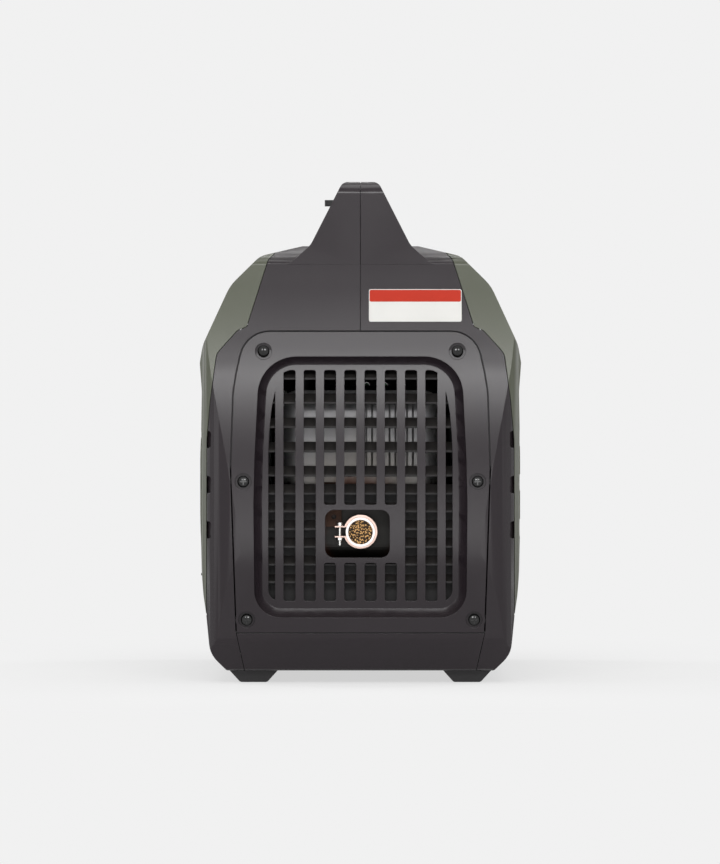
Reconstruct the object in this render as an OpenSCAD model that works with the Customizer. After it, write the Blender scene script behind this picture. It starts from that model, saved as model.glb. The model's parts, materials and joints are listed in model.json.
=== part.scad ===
// Portable inverter generator in a closed casing with a carry handle.
// The exhaust end faces -Y and the control panel faces +Y. Z is up, and the feet stand on z = 0.
// The crankshaft, the alternator, the fan and the recoil starter share one axis along Y.

/* [Casing] */
// Length from the exhaust end to the control end
body_l = 490; // [480:2:510]
// Width across the shoulders, the widest place
body_w = 292; // [288:2:306]
// Height of the deck beside the handle
deck_z = 388; // [385:1:394]
// Height of the shoulders
shoulder_z = 286; // [282:1:289]
// Height of the casing's underside above the ground
base_z = 11; // [9:0.5:13]
// Wall of the mouldings
wall = 3; // [2.6:0.1:3.4]
// Gap at the seams between two mouldings
seam = 0.5; // [0.3:0.1:0.8]
// Radius of the casing's upright corners
corner_r = 36; // [32:1:40]

/* [Handle] */
// Height of the handle's top above the deck
handle_rise = 62; // [60:1:68]
// Thickness of the grip bar, top to bottom
grip_t = 28; // [24:1:30]
// Half width of the grip bar
grip_half = 17; // [15:0.5:19]
// Place of the handle's front end along the casing
handle_front = 104; // [98:1:106]

/* [End covers] */
// How far the sunken plate lies behind the end of the casing
plate_depth = 12; // [10:0.5:14]
// Thickness of the sunken plates
plate_t = 3; // [2.4:0.2:3.4]
// Width of the sloping band round the sunken plates
band_w = 7.5; // [6:0.5:9]
// Gap round the covers
cover_gap = 1.2; // [0.6:0.1:1.4]
// Radius of the screw heads
head_r = 5.3; // [4.6:0.1:5.8]
// Radius of the screws' thread
thread_r = 2.4; // [2:0.1:2.5]

/* [Grille] */
// Number of upright slots
slot_count = 10; // [8:2:10]
// Distance from slot to slot
slot_pitch = 18.2; // [17.6:0.1:18.6]
// Width of a slot
slot_w = 10.7; // [8:0.1:12]
// Width of the exhaust window
window_w = 58; // [54:1:60]
// Height of the exhaust window
window_h = 43; // [40:1:46]
// Offset of the window towards -X from the exhaust axis
window_shift = 2.7; // [0:0.1:3]
// Number of louvres above the exhaust
upper_louvres = 5; // [3:1:5]
// Distance between the upper louvres
upper_pitch = 21.7; // [20:0.1:22]
// Number of louvres beside and below the exhaust
lower_louvres = 6; // [4:1:6]
// Distance between the lower louvres
lower_pitch = 15.9; // [15:0.1:16.2]

/* [Exhaust] */
// Height of the exhaust outlet's axis
pipe_z = 136; // [132:1:140]
// Outer radius of the exhaust outlet
pipe_r = 13.2; // [12:0.1:14]
// Wall of the exhaust outlet
pipe_wall = 2.2; // [1.8:0.1:2.6]
// Width of the muffler
muffler_w = 140; // [130:2:150]
// Height of the muffler
muffler_h = 150; // [140:2:154]
// Depth of the muffler along the casing
muffler_l = 83; // [78:1:84]

/* [Engine] */
// Height of the crankshaft's axis
crank_z = 122; // [119:1:125]
// Radius of the crankshaft
shaft_r = 11; // [10:0.5:12]
// Half width of the crankcase
case_half = 52; // [48:1:54]
// Length of the crankcase along the shaft
case_l = 94; // [90:1:96]
// Radius of the cylinder's bore
bore_r = 25; // [22:0.5:26]
// Number of fins on the cylinder
fin_count = 7; // [5:1:8]
// Distance from fin to fin
fin_pitch = 7; // [6:0.2:7]
// Outer radius of the alternator's rotor
rotor_r = 70; // [66:1:71]
// Outer radius of the cooling fan
fan_r = 82; // [78:1:83]
// Number of fan blades
fan_blades = 12; // [9:1:16]
// Radial running clearance of shafts and pins
running = 0.05; // [0.02:0.01:0.09]

/* [Starter] */
// Radius of the starter pulley's flanges
pulley_r = 44; // [42:1:47]
// Radius of the rope's turn on the pulley
rope_turn_r = 40.5; // [39:0.5:41]
// Radius of the starter rope
rope_r = 2.2; // [1.8:0.1:2.4]
// Length of the starter's hand grip
hand_grip_l = 72; // [66:1:76]
// Height of the starter's hand grip
hand_grip_h = 24; // [22:1:28]

/* [Fuel] */
// Length of the fuel tank
tank_l = 270; // [250:5:275]
// Width of the fuel tank
tank_w = 168; // [150:2:174]
// Height of the fuel tank
tank_h = 84; // [70:1:86]
// Wall of the fuel tank
tank_wall = 1.5; // [1.2:0.1:2.5]
// Place of the filler neck along the casing
neck_y = 138; // [137:0.5:139]
// Outer radius of the filler neck
neck_r = 24; // [22:0.5:24.5]
// Outer radius of the fuel cap
cap_r = 30; // [29:0.5:31]
// Height of the fuel cap
cap_h = 33; // [30:1:34]

/* [Hidden] */
$fn = 48;

shell_grey = [0.22, 0.215, 0.22];
olive = [0.36, 0.38, 0.29];
metal = [0.66, 0.66, 0.64];
castings = [0.6, 0.6, 0.6];
black = [0.08, 0.08, 0.08];

half_w = body_w / 2;
rear_y = -body_l / 2;
front_y = body_l / 2;
handle_top = deck_z + handle_rise;
step_angle = 9;
seat_gap = 0.2;
reach = 20;
// Length that the pieces inside are laid out for, and their stretch in a longer or shorter casing
layout_l = 490;
along = body_l / layout_l;

// --- outlines: each point is [across, up, radius] ---

function unit(v) = v / norm(v);
function spot(p) = [p[0], p[1]];
function corner(path, i) = path[(i + len(path)) % len(path)];
function normal_of(a, b) = let (d = unit(b - a)) [-d[1], d[0]];

// Points of the arc that rounds the corner b between a and c
function fillet(a, b, c, r) =
    let (
        u = unit(a - b),
        w = unit(c - b),
        half = acos(max(-1, min(1, u * w))) / 2,
        middle = b + unit(u + w) * r / sin(half),
        from = b + u * r / tan(half) - middle,
        to = b + w * r / tan(half) - middle,
        start = atan2(from[1], from[0]),
        swing = atan2(from[0] * to[1] - from[1] * to[0], from * to),
        steps = max(1, ceil(abs(swing) / step_angle))
    )
    [for (k = [0:steps]) middle + r * [cos(start + swing * k / steps), sin(start + swing * k / steps)]];

function rounded(path) = [
    for (i = [0:len(path) - 1])
        each (path[i][2] > 0
            ? fillet(spot(corner(path, i - 1)), spot(path[i]), spot(corner(path, i + 1)), path[i][2])
            : [spot(path[i])])
];

// The same outline with every edge moved inwards by t; its points run anticlockwise
function inset(path, t) = [
    for (i = [0:len(path) - 1])
        let (
            b = spot(path[i]),
            n = normal_of(spot(corner(path, i - 1)), b),
            m = normal_of(b, spot(corner(path, i + 1))),
            place = b + (n + m) * t / (1 + n * m),
            r = path[i][2],
            kept = r == 0 ? 0 : cross(n, m) > 0 ? max(r - t, 0.2) : r + t
        )
        [place[0], place[1], kept]
];

function flipped(path) = [for (i = [len(path) - 1:-1:0]) [-path[i][0], path[i][1], path[i][2]]];
function both_sides(half) = concat(half, flipped(half));
function box_path(w, h, r, x = 0, z = 0) = [
    [x - w / 2, z - h / 2, r], [x + w / 2, z - h / 2, r],
    [x + w / 2, z + h / 2, r], [x - w / 2, z + h / 2, r]
];

// Casing seen from the exhaust end
front_path = both_sides([
    [half_w - 26, base_z, 4],
    [half_w - 11.1, base_z + 15, 26],
    [half_w - 7.5, base_z + 51, 60],
    [half_w - 3.4, base_z + 78, 200],
    [half_w - 1.4, base_z + 130, 400],
    [half_w - 1.4, shoulder_z - 86, 150],
    [half_w - 3.2, shoulder_z - 24, 40],
    [half_w + 0.2, shoulder_z, 6],
    [half_w - 5, shoulder_z + 19, 30],
    [half_w - 29, shoulder_z + 71, 40],
    [half_w - 56, deck_z - 4.5, 18],
    [half_w - 101, deck_z + 6, 60]
]);

// How far the exhaust end leans back at each height
lean_steps = [
    [base_z + 28, 8],
    [base_z + 100, 0],
    [base_z + 139, 0.35],
    [shoulder_z - 111, 1.2],
    [shoulder_z - 86, 2.6],
    [shoulder_z - 64, 4.5],
    [shoulder_z - 44, 7],
    [shoulder_z - 26, 9.8],
    [shoulder_z - 9, 13],
    [shoulder_z + 7, 16.2],
    [shoulder_z + 22, 18.7],
    [shoulder_z + 37, 20.6],
    [shoulder_z + 54, 22.2],
    [shoulder_z + 73, 23.5],
    [deck_z - 6, 24.5],
    [handle_top, 25.7]
];
lean_count = len(lean_steps);
function lean(z) = lookup(z, lean_steps);

// Casing seen from the side, with -Y on the left
side_path = concat(
    [
        [rear_y + 24, base_z, 5],
        [front_y - 24, base_z, 5],
        [front_y - 8, base_z + 28, 25],
        [front_y, base_z + 100, 100],
        [front_y, base_z + 204, 100],
        [front_y - 8, shoulder_z + 33, 12],
        [front_y - 48, deck_z - 6, 34],
        [front_y - 150, deck_z + 4, 150],
        [rear_y + 140, deck_z + 4, 150],
        [rear_y + lean(deck_z - 6), deck_z - 6, 9]
    ],
    [for (i = [lean_count - 3:-1:0]) [rear_y + lean_steps[i][1], lean_steps[i][0], i == 0 ? 25 : i == 1 ? 100 : 250]]
);

// Casing seen from above
end_half = half_w - 5;
plan_path = [
    [-end_half, rear_y, corner_r],
    [end_half, rear_y, corner_r],
    [half_w + 1, rear_y + 150, 200],
    [half_w + 1, front_y - 150, 200],
    [end_half, front_y, corner_r],
    [-end_half, front_y, corner_r],
    [-half_w - 1, front_y - 150, 200],
    [-half_w - 1, rear_y + 150, 200]
];

// The right side panel's share of the casing, seen from the exhaust end
panel_path = [
    [half_w - 69, deck_z + 30, 0],
    [half_w - 69, deck_z - 2, 4],
    [half_w - 63, deck_z - 8.4, 6],
    [half_w - 44, shoulder_z + 34, 2],
    [half_w - 35.5, shoulder_z + 30.5, 4],
    [half_w - 17, shoulder_z + 10, 12],
    [half_w - 11.4, shoulder_z - 31, 30],
    [half_w - 8.2, shoulder_z - 67, 30],
    [half_w - 7.7, base_z + 50, 0],
    [half_w + 30, base_z + 50, 0],
    [half_w + 30, deck_z + 30, 0]
];

// Outline of the covers at both ends, and of the recess in them
cover_path = both_sides([
    [half_w - 34.6, base_z + 34.4, 2],
    [half_w - 28.5, shoulder_z - 60, 500],
    [half_w - 33, shoulder_z - 14, 120],
    [half_w - 43, shoulder_z + 30, 27]
]);
recess_path = both_sides([
    [half_w - 51, base_z + 48.5, 24],
    [half_w - 50, base_z + 170, 700],
    [half_w - 55.5, shoulder_z + 7.3, 34.5]
]);
plate_path = inset(recess_path, band_w);

// Outline of the base tray and its end bumpers
tray_path = both_sides([
    [half_w - 43, base_z - 5, 0],
    [half_w - 34.6, base_z + 34.4, 0]
]);

// --- extrusions along the three axes ---

module along_y(points, from, to) {
    translate([0, to, 0]) rotate([90, 0, 0]) linear_extrude(to - from) polygon(points);
}

module along_x(points, from, to) {
    translate([from, 0, 0]) rotate([90, 0, 90]) linear_extrude(to - from) polygon(points);
}

module along_z(points, from, to) {
    translate([0, 0, from]) linear_extrude(to - from) polygon(points);
}

module rod_y(r, from, to) {
    translate([0, to, 0]) rotate([90, 0, 0]) cylinder(r = r, h = to - from);
}

module rod_x(r, from, to) {
    translate([from, 0, 0]) rotate([0, 90, 0]) cylinder(r = r, h = to - from);
}

module rod_z(r, from, to) {
    translate([0, 0, from]) cylinder(r = r, h = to - from);
}

module block(low, high) {
    translate(low) cube(high - low);
}

// A ring about the Y axis
module ring_y(outer, inner, from, to) {
    difference() {
        rod_y(outer, from, to);
        rod_y(inner, from - 1, to + 1);
    }
}

// A box with rounded upright and lying edges
module soft_box(low, high, r) {
    size = high - low;
    middle = (low + high) / 2;
    intersection() {
        along_z(rounded(box_path(size[0], size[1], r, middle[0], middle[1])), low[2], high[2]);
        along_x(rounded(box_path(size[1], size[2], r, middle[1], middle[2])), low[0], high[0]);
        along_y(rounded(box_path(size[0], size[2], r, middle[0], middle[2])), low[1], high[1]);
    }
}

// A round tube through the given points
module run_tube(points, r) {
    for (i = [0:len(points) - 2]) {
        span = points[i + 1] - points[i];
        turn = atan2(span[1], span[0]);
        lean = acos(span[2] / norm(span));
        translate(points[i]) rotate([0, lean, turn]) cylinder(r = r, h = norm(span));
    }
    for (i = [1:len(points) - 2])
        translate(points[i]) sphere(r = r * 1.03);
}

// --- casing ---

module body_solid(t) {
    intersection() {
        along_y(rounded(inset(front_path, t)), rear_y - reach, front_y + reach);
        along_x(rounded(inset(side_path, t)), -half_w - reach, half_w + reach);
        along_z(rounded(inset(plan_path, t)), 0, deck_z + reach);
    }
}

module body_wall() {
    difference() {
        body_solid(0);
        body_solid(wall);
    }
}

// Room for the hand below the grip bar
scoop_floor = deck_z - 10;
scoop_half = 40;
scoop_rear = rear_y + 61;
scoop_front = handle_front - 36;

module scoop(t) {
    length = scoop_front - scoop_rear;
    middle = (scoop_front + scoop_rear) / 2;
    tall = 80;
    intersection() {
        along_x(rounded(box_path(length + 2 * t, tall, 14 + t, middle, scoop_floor + tall / 2 - t)), -half_w, half_w);
        along_y(rounded(box_path(2 * scoop_half + 2 * t, tall, 14 + t, 0, scoop_floor + tall / 2 - t)), rear_y, front_y);
    }
}

handle_foot = deck_z - 12;
handle_rear = rear_y + 20;
grip_floor = handle_top - grip_t;

handle_side = [
    [rear_y + lean(handle_foot), handle_foot, 0],
    [handle_front, handle_foot, 0],
    [handle_front - 16, handle_top, 26],
    [rear_y + lean(handle_top), handle_top, 12]
];
handle_gap = [
    [scoop_rear - 2, handle_foot - 8, 0],
    [scoop_front + 2, handle_foot - 8, 0],
    [scoop_front - 12, grip_floor, 14],
    [scoop_rear - 2, grip_floor, 14]
];
handle_end = both_sides([
    [66, handle_foot, 0],
    [61, deck_z - 9, 0],
    [45, deck_z + 5, 22],
    [16, handle_top, 8]
]);
handle_plan = [
    [-80, handle_rear - 10, 0],
    [80, handle_rear - 10, 0],
    [80, scoop_rear - 8, 0],
    [grip_half, scoop_rear + 34, 50],
    [grip_half, scoop_front - 40, 50],
    [80, scoop_front - 4, 0],
    [80, handle_front + 10, 0],
    [-80, handle_front + 10, 0],
    [-80, scoop_front - 4, 0],
    [-grip_half, scoop_front - 40, 50],
    [-grip_half, scoop_rear + 34, 50],
    [-80, scoop_rear - 8, 0]
];

module handle_solid(t) {
    difference() {
        intersection() {
            along_x(rounded(inset(handle_side, t)), -half_w, half_w);
            along_y(rounded(inset(handle_end, t)), rear_y, front_y);
            along_z(rounded(inset(handle_plan, t)), 0, handle_top + reach);
        }
        along_x(rounded(inset(handle_gap, -t)), -half_w, half_w);
    }
}

// Screws that hold both end covers: [across, up, depth of the cover's face behind a straight end]
cover_screw_spots = [
    [half_w - 59, shoulder_z + 12, 6.4],
    [half_w - 41, shoulder_z - 104.6, 0],
    [half_w - 44, base_z + 46.5, 5.9]
];
// End 0 is the exhaust end, which leans; end 1 is the control end
function face_depth(s, end) = end == 0 ? lean(s[1]) : s[2];
function arm_from(s, end) = max(plate_depth + 4, face_depth(s, end) + cup_depth + wall + seat_gap);
function arm_to(s, end) = arm_from(s, end) + arm_l;
cup_r = head_r + 2.2;
cup_wall = 2.4;
cup_depth = 4;
arm_l = 8;
arm_half = 3;
end_zone = 60;
boss_r = 5.6;

// Arms inside the shell's corner that take the cover screws
module screw_arms(end) {
    for (s = cover_screw_spots) {
        from = rear_y + arm_from(s, end);
        to = rear_y + arm_to(s, end);
        intersection() {
            mirror([0, end, 0]) body_solid(wall / 2);
            union() {
                block([s[0], from, s[1] - arm_half], [half_w, to, s[1] + arm_half]);
                block([s[0] + 20, rear_y - 1, s[1] - arm_half], [half_w, to, s[1] + arm_half]);
            }
        }
        translate([s[0], 0, s[1]]) rod_y(boss_r, from, to);
    }
}

tank_top = deck_z - 16;
tank_boss_x = half_w - 84;
tank_boss_spots = [-90, 96];
tank_boss_r = 7;

pocket_depth = 1.8;

module right_half_shell() {
    difference() {
        union() {
            difference() {
                body_wall();
                scoop(0);
            }
            intersection() {
                body_solid(0);
                difference() {
                    scoop(wall);
                    scoop(0);
                }
            }
            difference() {
                handle_solid(0);
                handle_solid(wall);
            }
            for (end = [0, 1])
                mirror([0, end, 0]) screw_arms(end);
            intersection() {
                handle_solid(wall / 2);
                for (s = handle_screw_spots)
                    translate([0, s[0], s[1]]) rod_x(cup_r + cup_wall, 0, half_w);
            }
            intersection() {
                body_solid(wall / 2);
                for (y = tank_boss_spots)
                    translate([tank_boss_x, y, 0]) rod_z(tank_boss_r, tank_top + 0.3, deck_z + reach);
            }
        }
        block([-half_w - reach, rear_y - reach, -1], [seam / 2, front_y + reach, handle_top + reach]);
        along_y(rounded(inset(panel_path, -seam / 2)), rear_y - reach, front_y + reach);
        along_y(rounded(inset(tray_path, -seam / 2)), rear_y - reach, front_y + reach);
        difference() {
            along_y(rounded(inset(cover_path, -cover_gap / 2)), rear_y - reach, front_y + reach);
            body_solid(wall + 1);
        }
        difference() {
            for (z = groove_spots)
                along_y(rounded(box_path(8, groove_h, 3, half_w - 8, z)), rear_y - reach, rear_y + 50);
            body_solid(pocket_depth);
        }
        translate([0, neck_y, 0]) rod_z(neck_r + 3, tank_top, handle_top);
        for (s = cover_screw_spots, end = [0, 1])
            mirror([0, end, 0]) translate([s[0], 0, s[1]]) rod_y(thread_r + 0.05, rear_y, rear_y + arm_to(s, end) + 1);
    }
}

module right_body_shell() {
    color(shell_grey) difference() {
        right_half_shell();
        for (s = handle_screw_spots)
            translate([0, s[0], s[1]]) rod_x(thread_r + 0.05, 0, handle_screw_l - handle_screw_x + 1);
    }
}

module left_body_shell() {
    color(shell_grey) difference() {
        mirror([1, 0, 0]) right_half_shell();
        for (s = handle_screw_spots)
            translate([-handle_screw_x, s[0], s[1]]) {
                rod_x(cup_r, -half_w, 0);
                rod_x(thread_r + 0.3, -1, handle_screw_x);
            }
    }
}

// Three short grooves in each side panel, in line with the pockets at the seam
groove_h = 15.6;
groove_pitch = 40.6;
groove_depth = 1.4;
groove_l = 54;
groove_y = rear_y + 92;
groove_spots = [for (i = [0:2]) shoulder_z - 67 - i * groove_pitch];

module panel_wall() {
    difference() {
        intersection() {
            body_wall();
            along_y(rounded(inset(panel_path, seam / 2)), rear_y - reach, front_y + reach);
        }
        difference() {
            for (z = groove_spots)
                along_x(rounded(box_path(groove_l, groove_h, 7, groove_y, z)), 0, half_w + reach);
            body_solid(groove_depth);
        }
    }
}

module right_side_panel() {
    color(olive) panel_wall();
}

// Maintenance door in the left panel
door_rear = -112;
door_front = -2;
door_low = base_z + 81;
door_high = door_low + 126;
door_raise = 1.2;
door_path = box_path(door_front - door_rear, door_high - door_low, 10,
    (door_front + door_rear) / 2, (door_high + door_low) / 2);
door_hinge_gap = 1;

// Pocket round the starter's hand grip
grip_y = 94 * along;
grip_z = crank_z + rope_turn_r;
pocket_l = hand_grip_l + 16;
pocket_h = hand_grip_h + 20;
pocket_floor = half_w - 25;
pocket_path = box_path(pocket_l, pocket_h, 12, grip_y, grip_z);

module left_side_panel() {
    color(olive) difference() {
        union() {
            mirror([1, 0, 0]) panel_wall();
            intersection() {
                body_solid(0);
                along_x(rounded(inset(pocket_path, -wall)), -half_w - reach, -pocket_floor + wall);
            }
        }
        along_x(rounded(pocket_path), -half_w - reach, -pocket_floor);
        translate([0, grip_y, grip_z]) rod_x(rope_r + 1, -half_w, 0);
        along_x(rounded(inset(door_path, -seam)), -half_w - reach, -half_w + reach);
        block(
            [-half_w - reach, door_rear + 10, door_low - door_hinge_gap],
            [-half_w + reach, door_front - 10, door_low + 10]
        );
    }
}

door_hinge_x = half_w - 1.8;
door_hinge_z = door_low + 1;
door_barrel_r = 1.2;
knob_y = (door_rear + door_front) / 2;
knob_z = door_high - 13;
knob_r = 8.5;
knob_shaft_r = 3.5;

module maintenance_door() {
    hook_w = 16;
    hook_x = -half_w + wall + 4.6;
    color(olive) difference() {
        union() {
            intersection() {
                difference() {
                    body_solid(-door_raise);
                    body_solid(wall - door_raise);
                }
                along_x(rounded(door_path), -half_w - reach, -half_w + reach);
            }
            for (y = [door_rear + 22, door_front - 22]) {
                block([hook_x, y - hook_w / 2, door_low - 5], [hook_x + 2.4, y + hook_w / 2, door_low + 9]);
                block([hook_x - 3.2, y - hook_w / 2, door_low + 2], [hook_x + 1, y + hook_w / 2, door_low + 9]);
                translate([-door_hinge_x, 0, door_hinge_z]) rod_y(door_barrel_r, y - hook_w / 2, y + hook_w / 2);
            }
            intersection() {
                body_solid(wall - door_raise - 0.5);
                translate([0, knob_y, knob_z]) rod_x(knob_r + 2, -half_w, -half_w + 8);
            }
        }
        translate([0, knob_y, knob_z]) {
            rod_x(knob_r + 0.4, -half_w - reach, -half_w + 3.6);
            rod_x(knob_shaft_r + running, -half_w, 0);
        }
    }
}

module door_knob() {
    color(black) difference() {
        translate([0, knob_y, knob_z]) {
            rod_x(knob_r, -half_w + 0.8, -half_w + 3.4);
            rod_x(knob_shaft_r, -half_w + 1, -half_w + 14);
        }
        block([-half_w, knob_y - 7, knob_z - 1.2], [-half_w + 2.2, knob_y + 7, knob_z + 1.2]);
    }
}

// What lies deeper than a distance behind an end's face, built at the exhaust end
module behind(end, depth) {
    if (end == 0) {
        translate([0, depth, 0]) body_solid(0);
    } else {
        block([-half_w, rear_y + depth, 0], [half_w, rear_y + 2 * end_zone, deck_z]);
    }
}

// The same number of points on each outline, close enough together to follow the lean
function split(points, guide) = [
    for (i = [0:len(points) - 1])
        let (
            next = (i + 1) % len(points),
            count = max(1, ceil(abs(guide[next][1] - guide[i][1]) / 10))
        )
        for (k = [0:count - 1]) points[i] + (points[next] - points[i]) * k / count
];

// A well from the outline `wide` at the face, which narrows to the outline `tight` between two depths
module well(end, wide, tight, from, to) {
    guide = rounded(wide);
    outer = split(guide, guide);
    inner = split(rounded(tight), guide);
    count = len(outer);
    rings = [
        [for (p = outer) [p[0], rear_y - reach, p[1]]],
        [for (p = outer) [p[0], rear_y + from + (end == 0 ? lean(p[1]) : 0), p[1]]],
        [for (p = inner) [p[0], rear_y + to + (end == 0 ? lean(p[1]) : 0), p[1]]],
        [for (p = inner) [p[0], rear_y + end_zone, p[1]]]
    ];
    sides = [
        for (ring = [0:2], i = [0:count - 1])
            let (
                a = ring * count + i,
                b = ring * count + (i + 1) % count
            )
            each [[a, b, b + count], [a, b + count, a + count]]
    ];
    near = [for (i = [count - 1:-1:0]) i];
    far = [for (i = [0:count - 1]) 3 * count + i];
    polyhedron([for (ring = rings) each ring], concat([near, far], sides));
}

// The flange, the sloping band and the screw cups that both end covers share
module cover_shell(end) {
    slope_from = 5;
    band_wall = 2.4;
    difference() {
        union() {
            intersection() {
                mirror([0, end, 0]) body_wall();
                along_y(rounded(inset(cover_path, cover_gap / 2)), rear_y - reach, rear_y + end_zone);
            }
            difference() {
                intersection() {
                    mirror([0, end, 0]) body_solid(0);
                    union() {
                        well(end, inset(recess_path, -band_wall), inset(plate_path, -band_wall), slope_from, plate_depth);
                        for (s = cover_screw_spots, side = [-1, 1])
                            translate([side * s[0], 0, s[1]])
                                rod_y(cup_r + cup_wall, rear_y - 1, rear_y + face_depth(s, end) + cup_depth + wall);
                    }
                }
                behind(end, plate_depth + plate_t);
            }
        }
        difference() {
            well(end, recess_path, plate_path, slope_from, plate_depth);
            behind(end, plate_depth);
        }
        along_y(rounded(inset(plate_path, 4)), rear_y, rear_y + end_zone);
        for (s = cover_screw_spots, side = [-1, 1])
            translate([side * s[0], 0, s[1]]) {
                rod_y(cup_r, rear_y - reach, rear_y + face_depth(s, end) + cup_depth);
                rod_y(thread_r + 0.3, rear_y, rear_y + end_zone);
            }
    }
}

window_z = pipe_z - 1.7;
window_path = box_path(window_w, window_h, 8, -window_shift, window_z);
slot_low = base_z + 63;
slot_high = shoulder_z - 5;
sleeve_wall = 2;
grille_path = both_sides([
    [half_w - 63.4, slot_low, 10],
    [half_w - 63.4, shoulder_z - 70, 200],
    [half_w - 66, shoulder_z - 40, 60],
    [half_w - 73.5, slot_high, 13]
]);

module slot_shapes() {
    bridge = 4.6;
    slot_r = 2;
    first = -(slot_count - 1) / 2;
    intersection() {
        along_y(rounded(grille_path), rear_y, rear_y + end_zone);
        union() {
            for (i = [0:slot_count - 1]) {
                x = (first + i) * slot_pitch;
                crosses = abs(x) < window_w / 2;
                low = crosses ? window_z + window_h / 2 + bridge : slot_low;
                along_y(rounded(box_path(slot_w, slot_high - low, slot_r, x, (slot_high + low) / 2)), rear_y, rear_y + end_zone);
                if (crosses) {
                    high = window_z - window_h / 2 - bridge;
                    along_y(rounded(box_path(slot_w, high - slot_low, slot_r, x, (high + slot_low) / 2)), rear_y, rear_y + end_zone);
                }
            }
        }
    }
}

module rear_cover() {
    sleeve_to = plate_depth + 14;
    color(shell_grey) difference() {
        union() {
            cover_shell(0);
            difference() {
                intersection() {
                    along_y(rounded(inset(plate_path, -1)), rear_y, rear_y + end_zone);
                    behind(0, plate_depth);
                }
                behind(0, plate_depth + plate_t);
                slot_shapes();
            }
            along_y(rounded(inset(window_path, -sleeve_wall)), rear_y + plate_depth + 1, rear_y + sleeve_to);
        }
        along_y(rounded(window_path), rear_y - reach, rear_y + sleeve_to + 1);
    }
}

louvre_from = plate_depth + plate_t + seat_gap;
louvre_l = 16;
louvre_path = inset(plate_path, 1);

module blade(z) {
    rise = 7.6;
    thick = 1.6;
    y = rear_y + louvre_from + max(lean(z), lean(z + thick));
    along_x(
        [[y, z], [y + louvre_l - 1, z + rise], [y + louvre_l - 1, z + rise + thick], [y, z + thick]],
        -half_w, half_w
    );
}

module louvre_panel() {
    rim = 2.2;
    from = rear_y + louvre_from;
    to = from + louvre_l;
    upper_first = slot_high - 8.6;
    lower_first = upper_first - (upper_louvres - 1) * upper_pitch - 16.3;
    color(black) difference() {
        union() {
            difference() {
                intersection() {
                    along_y(rounded(louvre_path), rear_y, rear_y + end_zone);
                    behind(0, louvre_from);
                }
                behind(0, louvre_from + louvre_l);
                along_y(rounded(inset(louvre_path, rim)), rear_y - 1, rear_y + end_zone + 1);
            }
            intersection() {
                along_y(rounded(inset(louvre_path, rim / 2)), rear_y, rear_y + end_zone);
                union() {
                    for (i = [0:upper_louvres - 1])
                        blade(upper_first - i * upper_pitch);
                    for (i = [0:lower_louvres - 1])
                        blade(lower_first - i * lower_pitch);
                    block([-half_w, to - 1.6, 0], [half_w, to, lower_first + 8]);
                }
            }
        }
        along_y(rounded(inset(window_path, -sleeve_wall - 0.6)), from - 1, to + 1);
    }
}

module front_cover() {
    color(shell_grey) mirror([0, 1, 0]) cover_shell(1);
}

mount_x = case_half - 6;
mount_r = 13;
tray_floor = base_z + wall;
tray_boss_z = tray_floor + 14;
case_rear = rear_y + 141 * along;
case_front = case_rear + case_l * along;
mount_spots = [case_rear + 14, case_front - 14];
inverter_rear = 128 * along;
inverter_l = 50 * along;
inverter_h = 94;
inverter_half = 94;
inverter_low = tray_floor + 16;

module base_tray() {
    color(shell_grey) {
        difference() {
            intersection() {
                body_wall();
                along_y(rounded(inset(tray_path, seam / 2)), rear_y - reach, front_y + reach);
            }
            for (x = [-60:24:60])
                block([x - 8, 60, 0], [x + 8, 110, tray_floor + 1]);
        }
        for (x = [-mount_x, mount_x], y = mount_spots)
            translate([x, y, 0]) rod_z(mount_r + 2, tray_floor - 1, tray_boss_z);
        for (x = [-inverter_half + 14, inverter_half - 14])
            block([x - 3, inverter_rear + 4, tray_floor - 1], [x + 3, inverter_rear + inverter_l - 4, inverter_low - seat_gap]);
    }
}

foot_x = half_w - 50;
foot_y = body_l / 2 - 54;
foot_w = 43;
foot_l = 48;
foot_sole_w = 24;

module rubber_feet() {
    color(black) for (x = [-foot_x, foot_x], y = [-foot_y, foot_y])
        translate([x, y, 0]) intersection() {
            along_y(rounded([
                [-foot_sole_w / 2, 0, 4], [foot_sole_w / 2, 0, 4],
                [foot_w / 2, base_z - seat_gap, 0], [-foot_w / 2, base_z - seat_gap, 0]
            ]), -foot_l, foot_l);
            along_x(rounded([
                [-foot_l / 2 + 7, 0, 4], [foot_l / 2 - 7, 0, 4],
                [foot_l / 2, base_z - seat_gap, 0], [-foot_l / 2, base_z - seat_gap, 0]
            ]), -foot_w, foot_w);
        }
}

// Screws in the left flank of the handle: [along, up]
handle_screw_spots = [[rear_y + 40, handle_top - 24], [handle_front - 26, handle_top - 24]];
handle_screw_x = 18;
handle_screw_l = 30;

// A cross-slotted screw whose head faces -Y; its seat is at y = 0
module case_screw(length) {
    head_h = 2.8;
    slot_half = 0.6;
    difference() {
        union() {
            intersection() {
                rod_y(head_r, -head_h, 0);
                translate([0, head_r * 1.7 - head_h, 0]) sphere(r = head_r * 1.7);
            }
            rod_y(thread_r, -0.5, length);
        }
        block([-head_r * 0.55, -head_h - 1, -slot_half], [head_r * 0.55, -head_h + 1.4, slot_half]);
        block([-slot_half, -head_h - 1, -head_r * 0.55], [slot_half, -head_h + 1.4, head_r * 0.55]);
    }
}

module case_screws() {
    color(black) {
        for (s = cover_screw_spots, side = [-1, 1], end = [0, 1])
            mirror([0, end, 0]) translate([side * s[0], rear_y + face_depth(s, end) + cup_depth - 0.05, s[1]])
                case_screw(arm_to(s, end) - face_depth(s, end) - cup_depth - 1);
        for (s = handle_screw_spots)
            translate([-handle_screw_x - 0.05, s[0], s[1]]) rotate([0, 0, -90]) case_screw(handle_screw_l);
    }
}

// --- exhaust ---

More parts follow.
